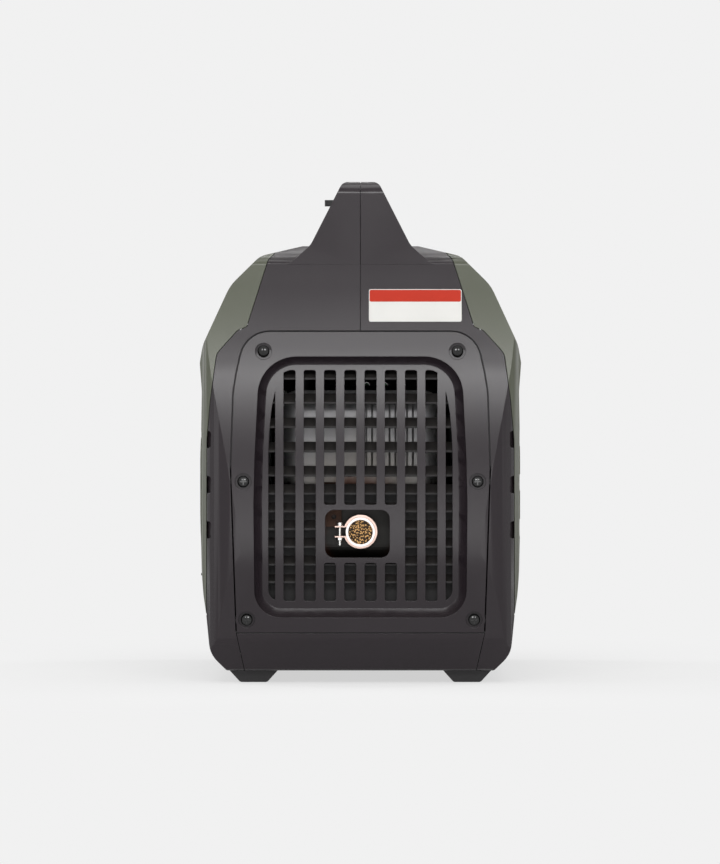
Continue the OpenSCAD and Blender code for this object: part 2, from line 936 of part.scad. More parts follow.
muffler_rear = rear_y + 42;
muffler_front = muffler_rear + muffler_l * along;
muffler_z = pipe_z + 47;
outlet_end = rear_y + 8;
spigot_end = muffler_rear - 20;
spigot_r = pipe_r - pipe_wall - 0.1;
// Rim at the pipe's end, over which an exhaust hose is pushed
rim_l = 9;
rim_step = 0.3;
port_z = crank_z + 114;
port_r = 13;

module muffler() {
    low = [-muffler_w / 2, muffler_rear, muffler_z - muffler_h / 2];
    high = [muffler_w / 2, muffler_front, muffler_z + muffler_h / 2];
    lap = 4;
    lap_y = (muffler_rear + muffler_front) / 2;
    skin = [3, 3, 3];
    color(metal) difference() {
        union() {
            soft_box(low, high, 16);
            along_y(rounded(box_path(muffler_w + 2 * lap, muffler_h + 2 * lap, 18, 0, muffler_z)), lap_y - 1.5, lap_y + 1.5);
            translate([0, 0, pipe_z]) rod_y(spigot_r, spigot_end, muffler_rear + 10);
            translate([0, 0, port_z]) rod_y(port_r, muffler_front - 10, head_rear - seat_gap);
            along_y(rounded(box_path(50, 34, 8, 0, port_z)), head_rear - seat_gap - 5, head_rear - seat_gap);
        }
        translate([0, 0, pipe_z]) rod_y(spigot_r - 2, spigot_end - 1, muffler_rear + 30);
        translate([0, 0, port_z]) rod_y(port_r - 3, muffler_front - 20, head_rear);
        soft_box(low + skin, high - skin, 13);
    }
}

module tailpipe() {
    color(metal) translate([0, 0, pipe_z]) {
        ring_y(pipe_r, pipe_r - pipe_wall, outlet_end, outlet_end + rim_l);
        ring_y(pipe_r - rim_step, pipe_r - pipe_wall, outlet_end + rim_l, muffler_rear - 3);
    }
}

clamp_y = rear_y + 19;
clamp_w = 8;
ear_gap = 9;
ear_t = 1.2;
clamp_bolt_x = -18.5;

module exhaust_clamp() {
    outer = pipe_r + 2;
    color(metal) translate([0, 0, pipe_z]) {
        difference() {
            union() {
                rod_y(outer, clamp_y, clamp_y + clamp_w);
                for (side = [-1, 1])
                    block([clamp_bolt_x - 4.5, clamp_y, side * ear_gap / 2 - ear_t / 2], [-outer + 3, clamp_y + clamp_w, side * ear_gap / 2 + ear_t / 2]);
            }
            rod_y(pipe_r - rim_step + 0.05, clamp_y - 1, clamp_y + clamp_w + 1);
            block([-2 * outer, clamp_y - 1, -ear_gap / 2 + ear_t / 2], [-pipe_r + 5, clamp_y + clamp_w + 1, ear_gap / 2 - ear_t / 2]);
            translate([clamp_bolt_x, clamp_y + clamp_w / 2, 0]) rod_z(1.6, -ear_gap, ear_gap);
        }
    }
}

module clamp_bolt() {
    color(metal) translate([clamp_bolt_x, clamp_y + clamp_w / 2, pipe_z]) {
        rod_z(1.5, -12.4, ear_gap / 2 + ear_t);
        rod_z(3, ear_gap / 2 + ear_t / 2 + 0.05, ear_gap / 2 + ear_t / 2 + 3);
        translate([0, 0, -ear_gap / 2 - ear_t / 2 - 2.55]) cylinder(r = 3, h = 2.5, $fn = 6);
    }
}

module spark_arrestor() {
    color("sienna") translate([0, 0, pipe_z]) {
        ring_y(pipe_r - pipe_wall - 0.05, pipe_r - pipe_wall - 0.8, outlet_end + 1.5, spigot_end - seat_gap);
        rod_y(pipe_r - pipe_wall - 0.4, outlet_end + 2.2, outlet_end + 3.4);
    }
}

module exhaust_bracket() {
    low_z = pipe_z + 4;
    high_z = pipe_z + 32;
    plate_y = muffler_rear - 6.5;
    color(metal) difference() {
        union() {
            block([-37, plate_y, low_z], [-17, plate_y + 2, high_z]);
            block([-37, plate_y, high_z - 2], [-17, muffler_rear - seat_gap, high_z]);
            block([-37, muffler_rear - seat_gap - 2, high_z - 2], [-17, muffler_rear - seat_gap, high_z + 12]);
        }
        translate([-24, 0, pipe_z + 13]) rod_y(2.2, plate_y - 1, plate_y + 3);
    }
}

// --- engine ---

foot_low = crank_z - 68;
foot_t = 6;
case_low = foot_low + foot_t;
case_top = crank_z + 43;
cyl_y = (case_rear + case_front) / 2;
fin_half = 42;
fin_t = 2.4;
cyl_top = case_top + fin_count * fin_pitch + 4;
head_h = 28;
head_top = cyl_top + head_h;
head_rear = cyl_y - fin_half - 1;

module crankcase() {
    side = both_sides([
        [case_half - 8, case_low - 1, 0],
        [case_half, crank_z - 30, 16],
        [case_half, crank_z + 20, 16],
        [case_half - 12, case_top, 8]
    ]);
    color(castings) difference() {
        union() {
            along_y(rounded(side), case_rear, case_front);
            block([-case_half - 8, case_rear, foot_low], [case_half + 8, case_front, case_low]);
            for (z = [crank_z - 40:16:crank_z + 24])
                block([-case_half - 1.5, case_rear + 6, z], [case_half + 1.5, case_front - 6, z + 2]);
            translate([0, 0, crank_z]) rod_y(30, case_front - 1, stator_rear - seat_gap);
            translate([-case_half, oil_y, oil_z]) rotate([0, oil_lean, 0]) rod_z(oil_neck_r, -14, oil_neck_h);
        }
        translate([0, 0, crank_z]) rod_y(shaft_r + running, case_rear + 8, case_front + 4);
        translate([-case_half, oil_y, oil_z]) rotate([0, oil_lean, 0]) rod_z(oil_neck_r - 3 + running, -30, oil_neck_h + 1);
    }
}

module cylinder_block() {
    barrel_r = bore_r + 8;
    color(castings) translate([0, cyl_y, 0]) difference() {
        union() {
            rod_z(barrel_r, case_top + seat_gap, cyl_top);
            for (i = [0:fin_count - 1])
                along_z(
                    rounded(box_path(2 * fin_half, 2 * fin_half, 14)),
                    case_top + 4 + i * fin_pitch, case_top + 4 + i * fin_pitch + fin_t
                );
            for (x = [-30, 30], y = [-30, 30])
                translate([x, y, 0]) rod_z(5, case_top + seat_gap, cyl_top);
        }
        rod_z(bore_r, case_top - 1, cyl_top - 6);
    }
}

module cylinder_head() {
    core_half = fin_half - 8;
    inlet_r = 9;
    plug_seat = 11;
    color(castings) difference() {
        union() {
            soft_box(
                [-core_half, cyl_y - core_half, cyl_top + seat_gap],
                [core_half, cyl_y + core_half, head_top], 6
            );
            for (i = [0:3])
                along_z(rounded(box_path(2 * fin_half, 2 * fin_half, 12, 0, cyl_y)),
                    cyl_top + 1 + i * fin_pitch, cyl_top + 1 + i * fin_pitch + fin_t);
            translate([0, 0, port_z]) rod_y(port_r + 3, head_rear, cyl_y - core_half + 1);
            translate([0, cyl_y, port_z]) rod_x(inlet_r + 6, -fin_half - 2, -core_half + 1);
            translate([plug_x, cyl_y, plug_z]) rotate([0, plug_lean, 0]) rod_z(plug_seat, -20, 0);
        }
        translate([0, 0, port_z]) rod_y(port_r - 3, head_rear - 1, cyl_y - 10);
        translate([0, cyl_y, port_z]) rod_x(inlet_r, -fin_half - 3, -12);
        translate([plug_x, cyl_y, plug_z]) rotate([0, plug_lean, 0]) {
            rod_z(5 + running, -18, 1);
            rod_z(plug_seat, 0, 30);
        }
    }
}

module rocker_cover() {
    low = head_top + seat_gap;
    cover_half = fin_half - 12;
    color(black) {
        soft_box([-cover_half, cyl_y - cover_half, low], [cover_half, cyl_y + cover_half, low + 18], 6);
        along_z(rounded(box_path(2 * cover_half + 4, 2 * cover_half + 4, 8, 0, cyl_y)), low, low + 3);
    }
}

plug_x = fin_half - 1;
plug_z = cyl_top + 17;
plug_lean = 72;

module spark_plug() {
    color("white") translate([plug_x, cyl_y, plug_z]) rotate([0, plug_lean, 0]) {
        rod_z(5, -17, 0.2);
        translate([0, 0, 0.1]) cylinder(r = 9, h = 8, $fn = 6);
        rod_z(5.2, 8, 28);
        rod_z(2.4, 28, 36);
    }
}

coil_angle = 40;
coil_r = rotor_r + 1.2;
coil_t = 12;

module plug_cap_lead() {
    tip = plug_x + 46 * sin(plug_lean);
    rise = plug_z + 46 * cos(plug_lean);
    coil_x = (coil_r + coil_t / 2) * sin(coil_angle);
    coil_z = crank_z + (coil_r + coil_t / 2) * cos(coil_angle);
    color(black) {
        translate([plug_x, cyl_y, plug_z]) rotate([0, plug_lean, 0]) difference() {
            rod_z(9, 10, 48);
            rod_z(5.5, 9, 38);
        }
        run_tube([
            [tip, cyl_y, rise],
            [tip - 2, cyl_y + 20, rise + 6],
            [tip - 26, stator_rear - 22, rise - 14],
            [coil_x, stator_rear - 22, coil_z],
            [coil_x, stator_rear - 7.2, coil_z]
        ], 3.2);
    }
}

oil_y = case_rear + 34;
oil_z = case_low + 22;
oil_lean = -58;
oil_neck_r = 12;
oil_neck_h = 14;

module oil_filler_cap() {
    low = oil_neck_h + seat_gap;
    plug_r = oil_neck_r - 3;
    grip_r = oil_neck_r + 3;
    color(black) translate([-case_half, oil_y, oil_z]) rotate([0, oil_lean, 0]) {
        rod_z(plug_r, -10, low + 1);
        difference() {
            rod_z(grip_r, low, low + 9);
            for (a = [0:45:315])
                rotate([0, 0, a]) translate([grip_r + 2, 0, 0]) rod_z(3.4, low - 1, low + 10);
        }
        rod_z(2, -26, -9);
    }
}

module engine_mounts() {
    color(black) for (x = [-mount_x, mount_x], y = mount_spots)
        translate([x, y, 0]) rod_z(mount_r, tray_boss_z + seat_gap / 2, foot_low - seat_gap / 2);
}

// --- alternator, fan and shroud ---

stator_rear = case_front + 4;
stator_l = 34 * along;
rotor_rear = stator_rear + 1;
web_y = stator_rear + stator_l + 4;
web_t = 6;
fan_back = web_y + web_t + 0.1;
fan_l = 24 * along;
crank_end = fan_back + fan_l + 6;
shroud_r = fan_r + 3;
shroud_wall = 2.5;
shroud_rear = case_front + 0.3;
shroud_front = crank_end + 6;

module crankshaft() {
    color(metal) translate([0, 0, crank_z]) {
        rod_y(shaft_r, case_rear + 12, crank_end);
        rod_y(shaft_r + 2, case_front + 5, stator_rear + 3);
    }
}

module alternator_stator() {
    core_r = rotor_r - 16;
    hub_r = shaft_r + 12;
    poles = 18;
    color("chocolate") translate([0, 0, crank_z]) difference() {
        union() {
            ring_y(core_r - 16, hub_r, stator_rear, stator_rear + stator_l);
            for (k = [0:poles - 1])
                rotate([0, k * 360 / poles, 0]) {
                    block([core_r - 17, stator_rear + 4, -2.5], [core_r, stator_rear + stator_l - 2, 2.5]);
                    block([core_r - 14, stator_rear + 2, -4.6], [core_r - 3, stator_rear + stator_l - 1, 4.6]);
                }
        }
        for (k = [0:2])
            rotate([0, k * 120, 0]) translate([(core_r - 16 + hub_r) / 2, 0, 0]) rod_y(2.6, stator_rear - 1, stator_rear + stator_l + 1);
    }
}

module alternator_rotor() {
    color(castings) translate([0, 0, crank_z]) {
        ring_y(rotor_r, rotor_r - 8, rotor_rear, web_y + web_t);
        ring_y(rotor_r - 7, shaft_r + 0.02, web_y, web_y + web_t);
        for (k = [0:11])
            rotate([0, k * 30, 0])
                block([rotor_r - 12, rotor_rear + 2, -12], [rotor_r - 7, web_y - 2, 12]);
    }
}

module cooling_fan() {
    cup_outer = 30;
    blade_from = 46;
    color(black) translate([0, 0, crank_z]) {
        ring_y(fan_r, shaft_r + 0.02, fan_back, fan_back + 2.6);
        difference() {
            ring_y(cup_outer, cup_outer - 3, fan_back, fan_back + fan_l + 6);
            for (k = [0:2])
                rotate([0, k * 120, 0]) block([cup_outer - 6, fan_back + 16, -6], [cup_outer + 2, fan_back + 24, 6]);
        }
        for (k = [0:fan_blades - 1])
            rotate([0, k * 360 / fan_blades, 0]) translate([blade_from, 0, 0]) rotate([0, -28, 0])
                block([0, fan_back + 1, -1.2], [fan_r - blade_from - 4, fan_back + fan_l, 1.2]);
    }
}

module fan_shroud() {
    outer = shroud_r + shroud_wall;
    mouth = 62;
    color(black) difference() {
        translate([0, 0, crank_z]) {
            ring_y(outer, shroud_r, shroud_rear, shroud_front);
            ring_y(outer, mouth, shroud_front - shroud_wall, shroud_front);
            ring_y(outer, 31, shroud_rear, shroud_rear + 2.4);
        }
        block([-fin_half + 4, shroud_rear - 1, case_top + 2], [fin_half - 4, shroud_rear + 3, crank_z + shroud_r - 12]);
        translate([0, 0, crank_z]) rotate([0, coil_angle, 0])
            block([-7, shroud_rear - 1, coil_r - 1], [7, shroud_rear + 3, coil_r + coil_t]);
    }
}

module ignition_coil() {
    color("dimgray") translate([0, 0, crank_z]) rotate([0, coil_angle, 0]) {
        block([-16, stator_rear - 1, coil_r], [16, stator_rear + 18, coil_r + coil_t]);
        block([-5, stator_rear - 7, coil_r + 1], [5, stator_rear - 0.5, coil_r + 11]);
    }
}

// --- intake ---

carb_x = -fin_half - 2 - seat_gap;
carb_l = 36;
carb_end = carb_x - carb_l;
throttle_x = carb_x - 8;
choke_x = carb_x - 26;
throttle_bore = 7.6;
choke_bore = 9.8;
carb_half = 18;
carb_top = port_z + 20;

module carburettor() {
    color(metal) difference() {
        union() {
            soft_box([carb_end, cyl_y - carb_half, port_z - 18], [carb_x, cyl_y + carb_half, carb_top], 5);
            along_x(rounded(box_path(52, 30, 8, cyl_y, port_z)), carb_x - 4, carb_x);
            translate([(carb_end + carb_x) / 2, cyl_y, 0]) rod_z(15, port_z - 38, port_z - 16);
            translate([(carb_end + carb_x) / 2, cyl_y, port_z + 4]) rod_y(3, carb_half - 1, carb_half + 8);
        }
        translate([0, cyl_y, port_z]) {
            rod_x(throttle_bore, carb_x - 18, carb_x + 1);
            rod_x(choke_bore, carb_end - 1, carb_x - 17);
        }
        for (x = [throttle_x, choke_x])
            translate([x, cyl_y, 0]) rod_z(2.5 + running, port_z - 15, carb_top + 1);
    }
}

// A butterfly on an upright shaft, with a lever on top
module butterfly(disc_r, top) {
    rod_z(2.5, port_z - 14, top);
    translate([0, 0, port_z]) rod_x(disc_r, -0.7, 0.7);
}

module throttle_shaft() {
    color(metal) translate([throttle_x, cyl_y, 0]) butterfly(throttle_bore - 0.3, carb_top + 1.2);
}

module choke_shaft() {
    color(metal) translate([choke_x, cyl_y, 0]) {
        butterfly(choke_bore - 0.4, carb_top + 4);
        block([-3, -3, carb_top + 0.6], [3, 16, carb_top + 2.6]);
    }
}

module stepper_motor() {
    low = carb_top + seat_gap;
    color(black) translate([throttle_x, cyl_y, 0]) difference() {
        union() {
            rod_z(11.5, low, low + 20);
            block([-8, -17, low], [8, 17, low + 3]);
        }
        rod_z(2.8, low - 1, low + 3);
        block([-30, -30, low - 1], [-8.4, 30, low + 30]);
    }
}

cleaner_low = port_z - 108;
cleaner_high = port_z + 16;
cleaner_rear = cyl_y - 46;
cleaner_front = cyl_y + 46;
cleaner_x = carb_end - seat_gap;
cleaner_lid_x = -half_w + 29.6;
cleaner_wall = 2;

module air_cleaner_case() {
    color(black) difference() {
        soft_box([cleaner_lid_x, cleaner_rear, cleaner_low], [cleaner_x, cleaner_front, cleaner_high], 1);
        block(
            [cleaner_lid_x - 1, cleaner_rear + cleaner_wall, cleaner_low + cleaner_wall],
            [cleaner_x - cleaner_wall, cleaner_front - cleaner_wall, cleaner_high - cleaner_wall]
        );
        translate([0, cyl_y, port_z]) rod_x(choke_bore + 1, cleaner_x - 6, cleaner_x + 1);
    }
}

module air_cleaner_cover() {
    lip = 4;
    face = cleaner_lid_x - seat_gap;
    color(black) {
        along_x(rounded(box_path(cleaner_front - cleaner_rear, cleaner_high - cleaner_low, 4, cyl_y, (cleaner_high + cleaner_low) / 2)), face - 2.4, face);
        difference() {
            block(
                [face - 1, cleaner_rear + cleaner_wall + 0.3, cleaner_low + cleaner_wall + 0.3],
                [face + lip, cleaner_front - cleaner_wall - 0.3, cleaner_high - cleaner_wall - 0.3]
            );
            block(
                [face, cleaner_rear + cleaner_wall + 2, cleaner_low + cleaner_wall + 2],
                [face + lip + 1, cleaner_front - cleaner_wall - 2, cleaner_high - cleaner_wall - 2]
            );
        }
    }
}

module air_filter() {
    gap = cleaner_wall + 0.4;
    color("dimgray") block(
        [cleaner_lid_x + 4.4, cleaner_rear + gap, cleaner_low + gap],
        [cleaner_x - 12, cleaner_front - gap, cleaner_high - gap]
    );
}

// --- recoil starter ---

recoil_rear = shroud_front + seat_gap;
recoil_r = pulley_r + 16;
recoil_l = 34 * along;
recoil_front = recoil_rear + recoil_l;
pin_r = 8;
pulley_rear = grip_y - 6;
pulley_front = grip_y + 6;

module recoil_housing() {
    rim_r = 70;
    color(black) difference() {
        union() {
            translate([0, 0, crank_z]) {
                ring_y(recoil_r, recoil_r - 2.5, recoil_rear, recoil_front);
                rod_y(recoil_r, recoil_front - 3, recoil_front);
                ring_y(rim_r, recoil_r - 2.5, recoil_rear, recoil_rear + 3);
                rod_y(pin_r, pulley_rear - 3, recoil_front - 1);
            }
        }
        translate([0, grip_y, grip_z]) rod_x(rope_r + 1.6, -recoil_r - 5, -20);
        for (k = [0:11])
            translate([0, 0, crank_z]) rotate([0, k * 30, 0]) block([pulley_r - 14, recoil_front - 4, -2.6], [pulley_r + 8, recoil_front + 1, 2.6]);
    }
}

module recoil_pulley() {
    groove_r = rope_turn_r - rope_r - 0.3;
    color("ivory") translate([0, 0, crank_z]) {
        difference() {
            union() {
                ring_y(pulley_r, pin_r + running, pulley_rear, pulley_rear + 2.6);
                ring_y(groove_r, pin_r + running, pulley_rear, pulley_front);
                ring_y(pulley_r, pin_r + running, pulley_front - 2.6, pulley_front);
            }
            for (k = [0:2])
                rotate([0, k * 120, 0]) translate([24, 0, 0]) rod_y(5, pulley_rear - 1, pulley_front + 1);
        }
        ring_y(24, 18, pulley_rear - 4, pulley_rear + 1);
    }
}

spring_turns = 7;
spring_steps = 20;
spring_pitch = 3.2;
spring_first = pin_r + 4;

function spiral(shift) = [
    for (k = [0:spring_turns * spring_steps])
        let (a = k * 360 / spring_steps, r = spring_first + shift + spring_pitch * k / spring_steps)
        r * [cos(a), sin(a)]
];
function backwards(list) = [for (i = [len(list) - 1:-1:0]) list[i]];

module recoil_spring() {
    color(metal) translate([0, recoil_front - 4, crank_z]) rotate([90, 0, 0])
        linear_extrude(recoil_front - 4 - pulley_front - 0.4)
            polygon(concat(spiral(0.8), backwards(spiral(0))));
}

module starter_rope() {
    color("white") {
        translate([0, grip_y, crank_z]) rotate([-90, 0, 0]) rotate([0, 0, -90])
            rotate_extrude(angle = 290) translate([rope_turn_r, 0]) circle(r = rope_r);
        translate([0, grip_y, grip_z]) rod_x(rope_r, -pocket_floor - 0.2, 0);
    }
}

module starter_grip() {
    outer = half_w - 2.5;
    inner = pocket_floor + 4;
    nose_r = 8;
    color(black) difference() {
        union() {
            intersection() {
                along_x(rounded(box_path(hand_grip_l, hand_grip_h, 11, grip_y, grip_z)), -outer, -inner);
                along_z(rounded([
                    [-outer, grip_y - hand_grip_l / 2, 6], [-inner, grip_y - hand_grip_l / 2, 6],
                    [-inner, grip_y + hand_grip_l / 2, 6], [-outer, grip_y + hand_grip_l / 2, 6]
                ]), 0, deck_z);
            }
            translate([0, grip_y, grip_z]) rod_x(nose_r, -inner - 1, -pocket_floor - 0.3);
        }
        for (y = [grip_y - 24:6:grip_y + 24])
            block([-outer - 1, y - 1, grip_z - 8], [-outer + 0.8, y + 1, grip_z + 8]);
    }
}

// --- fuel system ---

tank_front = 172;
tank_rear = tank_front - tank_l;
tank_low = tank_top - tank_h;
neck_top = deck_z + 17;
tank_r = 22;

module fuel_tank() {
    low = [-tank_w / 2, tank_rear, tank_low];
    high = [tank_w / 2, tank_front, tank_top];
    inside = [tank_wall, tank_wall, tank_wall];
    lap = 5;
    color(black) difference() {
        union() {
            soft_box(low, high, tank_r);
            along_z(rounded(box_path(tank_w + 2 * lap, tank_l + 2 * lap, tank_r + lap, 0, (tank_front + tank_rear) / 2)), (tank_low + tank_top) / 2 - 1, (tank_low + tank_top) / 2 + 1);
            translate([0, neck_y, 0]) rod_z(neck_r, tank_top - 2, neck_top);
        }
        soft_box(low + inside, high - inside, tank_r - tank_wall);
        translate([0, neck_y, 0]) rod_z(neck_r - 3, tank_top - 4, neck_top + 1);
    }
}

cap_low = neck_top - 10;
cap_top = cap_low + cap_h;
gasket_t = 1.5;

module cap_gasket() {
    color(black) translate([0, neck_y, 0]) difference() {
        rod_z(neck_r - 0.4, neck_top + 0.05, neck_top + 0.05 + gasket_t);
        rod_z(neck_r - 3, neck_top - 1, neck_top + 3);
    }
}

module fuel_cap() {
    flutes = 12;
    color(black) translate([0, neck_y, 0]) difference() {
        union() {
            rod_z(cap_r, cap_low, cap_top - 3);
            translate([0, 0, cap_top - 3]) cylinder(r1 = cap_r, r2 = cap_r - 3, h = 3);
        }
        rod_z(neck_r + 0.6, cap_low - 1, neck_top + gasket_t + 0.1);
        for (k = [0:flutes - 1])
            rotate([0, 0, k * 360 / flutes]) translate([cap_r + 3, 0, 0]) rod_z(5, cap_low - 1, cap_top - 4);
    }
}

module vent_lever() {
    low = cap_top + seat_gap;
    arm_end = -cap_r - 3.5;
    color(black) translate([0, neck_y, 0]) {
        rod_z(10, low, low + 6);
        hull() {
            translate([-4, 0, low + 1]) cylinder(r = 6, h = 6, $fn = 32);
            translate([arm_end + 3, 0, low + 1]) cylinder(r = 3, h = 6, $fn = 32);
        }
    }
}

valve_x = -52;
valve_y = 60;

module fuel_valve() {
    low = tank_low - 20;
    color(metal) {
        soft_box([valve_x - 12, valve_y - 12, low], [valve_x + 12, valve_y + 12, low + 14], 3);
        translate([valve_x, valve_y, 0]) rod_z(7, low + 8, tank_low - seat_gap);
        translate([valve_x, 0, low + 7]) rod_y(3, valve_y - 20, valve_y - 10);
        translate([0, valve_y, low + 7]) rod_x(3, valve_x - 18, valve_x - 10);
    }
}

module fuel_hose() {
    spigot = (carb_end + carb_x) / 2;
    high = tank_low - 13;
    color(black) run_tube([
        [valve_x, valve_y - 20.2, high],
        [valve_x, 30, high],
        [spigot, -8, high - 6],
        [spigot, -14, port_z + 12],
        [spigot, cyl_y + carb_half + 16, port_z + 4],
        [spigot, cyl_y + carb_half + 8.2, port_z + 4]
    ], 3.4);
}

// --- inverter and control panel ---

module inverter_unit() {
    high = inverter_low + inverter_h;
    fins = 15;
    pitch = (2 * inverter_half - 20) / (fins - 1);
    color(metal) {
        soft_box([-inverter_half, inverter_rear + 16, inverter_low], [inverter_half, inverter_rear + inverter_l, high], 5);
        for (i = [0:fins - 1])
            block(
                [-inverter_half + 9 + i * pitch, inverter_rear, inverter_low + 4],
                [-inverter_half + 11 + i * pitch, inverter_rear + 18, high - 4]
            );
    }
}

panel_back = front_y - plate_depth + seat_gap;
panel_face = panel_back + plate_t;
dial_spot = [-54, shoulder_z - 48];
lamp_spots = [for (i = [0:2]) [6 + i * 17, shoulder_z - 26]];
eco_spot = [24, shoulder_z - 56];
outlet_spots = [[38, shoulder_z - 106], [38, shoulder_z - 154]];
breaker_spot = [-14, shoulder_z - 116];
usb_spot = [-54, shoulder_z - 108];
port_spots = [[-64, shoulder_z - 158], [-40, shoulder_z - 158]];
earth_spot = [-52, shoulder_z - 190];
outlet_w = 46;
outlet_h = 36;
usb_w = 34;
usb_h = 18;
breaker_r = 6.5;
eco_w = 13;
eco_h = 21;
dial_r = 22;
lamp_r = 2.6;
port_r_out = 7;
port_bore = 2.1;

module control_panel() {
    color(black) difference() {
        union() {
            along_y(rounded(inset(plate_path, 0.4)), panel_back, panel_face);
            translate([breaker_spot[0], 0, breaker_spot[1]]) rod_y(breaker_r + 4, panel_back - 8, panel_face + 3);
            along_y(rounded(box_path(eco_w + 6, eco_h + 6, 3, eco_spot[0], eco_spot[1])), panel_back - 10, panel_face + 2);
        }
        for (s = outlet_spots)
            along_y(rounded(box_path(outlet_w - 5, outlet_h - 5, 2, s[0], s[1])), panel_back - 1, panel_face + 1);
        along_y(rounded(box_path(usb_w - 5, usb_h - 5, 2, usb_spot[0], usb_spot[1])), panel_back - 1, panel_face + 1);
        for (s = lamp_spots)
            translate([s[0], 0, s[1]]) rod_y(lamp_r + 0.1, panel_back - 1, panel_face + 1);
        for (s = port_spots)
            translate([s[0], 0, s[1]]) rod_y(port_r_out - 1.3, panel_back - 1, panel_face + 1);
        translate([earth_spot[0], 0, earth_spot[1]]) rod_y(3.2, panel_back - 1, panel_face + 1);
        translate([dial_spot[0], 0, dial_spot[1]]) rod_y(4 + running, panel_back - 1, panel_face + 1);
        translate([breaker_spot[0], 0, breaker_spot[1]]) rod_y(breaker_r + running, panel_back - 4, panel_face + 4);
        along_y(rounded(box_path(eco_w + 0.6, eco_h + 0.6, 1, eco_spot[0], eco_spot[1])), panel_back - 8, panel_face + 4);
        translate([eco_spot[0], rocker_y, eco_spot[1]])
            rod_x(rocker_pin_r + running, -rocker_pin_half - seat_gap, rocker_pin_half + seat_gap);
    }
}

module ac_outlets() {
    face = panel_face + seat_gap;
    color(black) for (s = outlet_spots)
        translate([s[0], 0, s[1]]) difference() {
            union() {
                along_y(rounded(box_path(outlet_w, outlet_h, 4)), face, face + 4);
                along_y(rounded(box_path(outlet_w - 6, outlet_h - 6, 2)), panel_back - 16, face + 1);
            }
            for (x = [-6.4, 6.4])
                block([x - 1, face - 12, -1], [x + 1, face + 5, 7]);
            translate([0, 0, -8]) rod_y(2.5, face - 12, face + 5);
        }
}

module usb_outlet() {
    face = panel_face + seat_gap;
    color(black) translate([usb_spot[0], 0, usb_spot[1]]) difference() {
        union() {
            along_y(rounded(box_path(usb_w, usb_h, 3)), face, face + 3);
            along_y(rounded(box_path(usb_w - 6, usb_h - 6, 2)), panel_back - 12, face + 1);
        }
        for (x = [-7.4, 7.4])
            block([x - 6, face - 9, -2.4], [x + 6, face + 4, 2.4]);
    }
}

module ac_breaker() {
    color("white") translate([breaker_spot[0], 0, breaker_spot[1]])
        rod_y(breaker_r, panel_back, panel_face + 6.5);
}

rocker_tilt = 8;
rocker_y = panel_face - 3;
rocker_pin_r = 1.2;
rocker_pin_half = eco_w / 2 + 1.5;

module eco_switch() {
    half_h = eco_h / 2 - 0.4;
    color("dimgray") translate([eco_spot[0], rocker_y, eco_spot[1]]) rotate([rocker_tilt, 0, 0]) {
        along_x([[-4, -half_h + 2.4], [4, -half_h], [6.4, -half_h + 0.6], [4.6, 0], [6.4, half_h - 0.6], [4, half_h], [-4, half_h - 2.4]],
            -eco_w / 2 + 0.2, eco_w / 2 - 0.2);
        rod_x(rocker_pin_r, -rocker_pin_half, rocker_pin_half);
    }
}

module engine_dial() {
    low = panel_face + seat_gap;
    color(black) translate([dial_spot[0], 0, dial_spot[1]]) {
        rod_y(dial_r, low, low + 2.4);
        rod_y(dial_r - 4, low + 2, low + 4);
        along_y(rounded(box_path(9, 2 * dial_r - 8, 4)), low + 2, low + 8);
        rod_y(4, panel_back - 12, low + 1);
    }
}

module indicator_lamps() {
    color("lightgreen") for (s = lamp_spots)
        translate([s[0], 0, s[1]]) {
            rod_y(lamp_r, panel_back - 4, panel_face);
            translate([0, panel_face, 0]) sphere(r = lamp_r);
        }
}

module parallel_ports() {
    face = panel_face + seat_gap;
    color("firebrick") for (s = port_spots)
        translate([s[0], 0, s[1]]) difference() {
            union() {
                rod_y(port_r_out, face, face + 4);
                rod_y(port_r_out - 1.5, panel_back - 10, face + 1);
            }
            rod_y(port_bore, face - 14, face + 5);
        }
}

module earth_terminal() {
    face = panel_face + seat_gap;
    color("goldenrod") translate([earth_spot[0], 0, earth_spot[1]]) {
        rod_y(3, panel_back - 10, face + 8);
        translate([0, face + 1.6, 0]) rotate([90, 0, 0]) cylinder(r = 8, h = 1.6);
        translate([0, face + 5, 0]) rotate([90, 0, 0]) cylinder(r = 6.5, h = 3.4, $fn = 6);
        translate([0, panel_back - 0.2, 0]) rotate([90, 0, 0]) cylinder(r = 6, h = 3, $fn = 6);
    }
}

left_body_shell();
right_body_shell();
left_side_panel();
right_side_panel();
rear_cover();
louvre_panel();
front_cover();
base_tray();
rubber_feet();
case_screws();
maintenance_door();
door_knob();
muffler();
tailpipe();
exhaust_clamp();
clamp_bolt();
spark_arrestor();
exhaust_bracket();
fuel_tank();
fuel_cap();
cap_gasket();
vent_lever();
fuel_valve();
fuel_hose();
crankcase();
cylinder_block();
cylinder_head();
rocker_cover();
crankshaft();
alternator_stator();
alternator_rotor();
cooling_fan();
fan_shroud();
spark_plug();
plug_cap_lead();
ignition_coil();
carburettor();
throttle_shaft();
choke_shaft();
stepper_motor();
air_cleaner_case();
air_cleaner_cover();
air_filter();
oil_filler_cap();
engine_mounts();
recoil_housing();
recoil_pulley();
recoil_spring();
starter_rope();
starter_grip();
inverter_unit();
control_panel();
ac_outlets();
usb_outlet();
ac_breaker();
eco_switch();
engine_dial();
indicator_lamps();
parallel_ports();
earth_terminal();
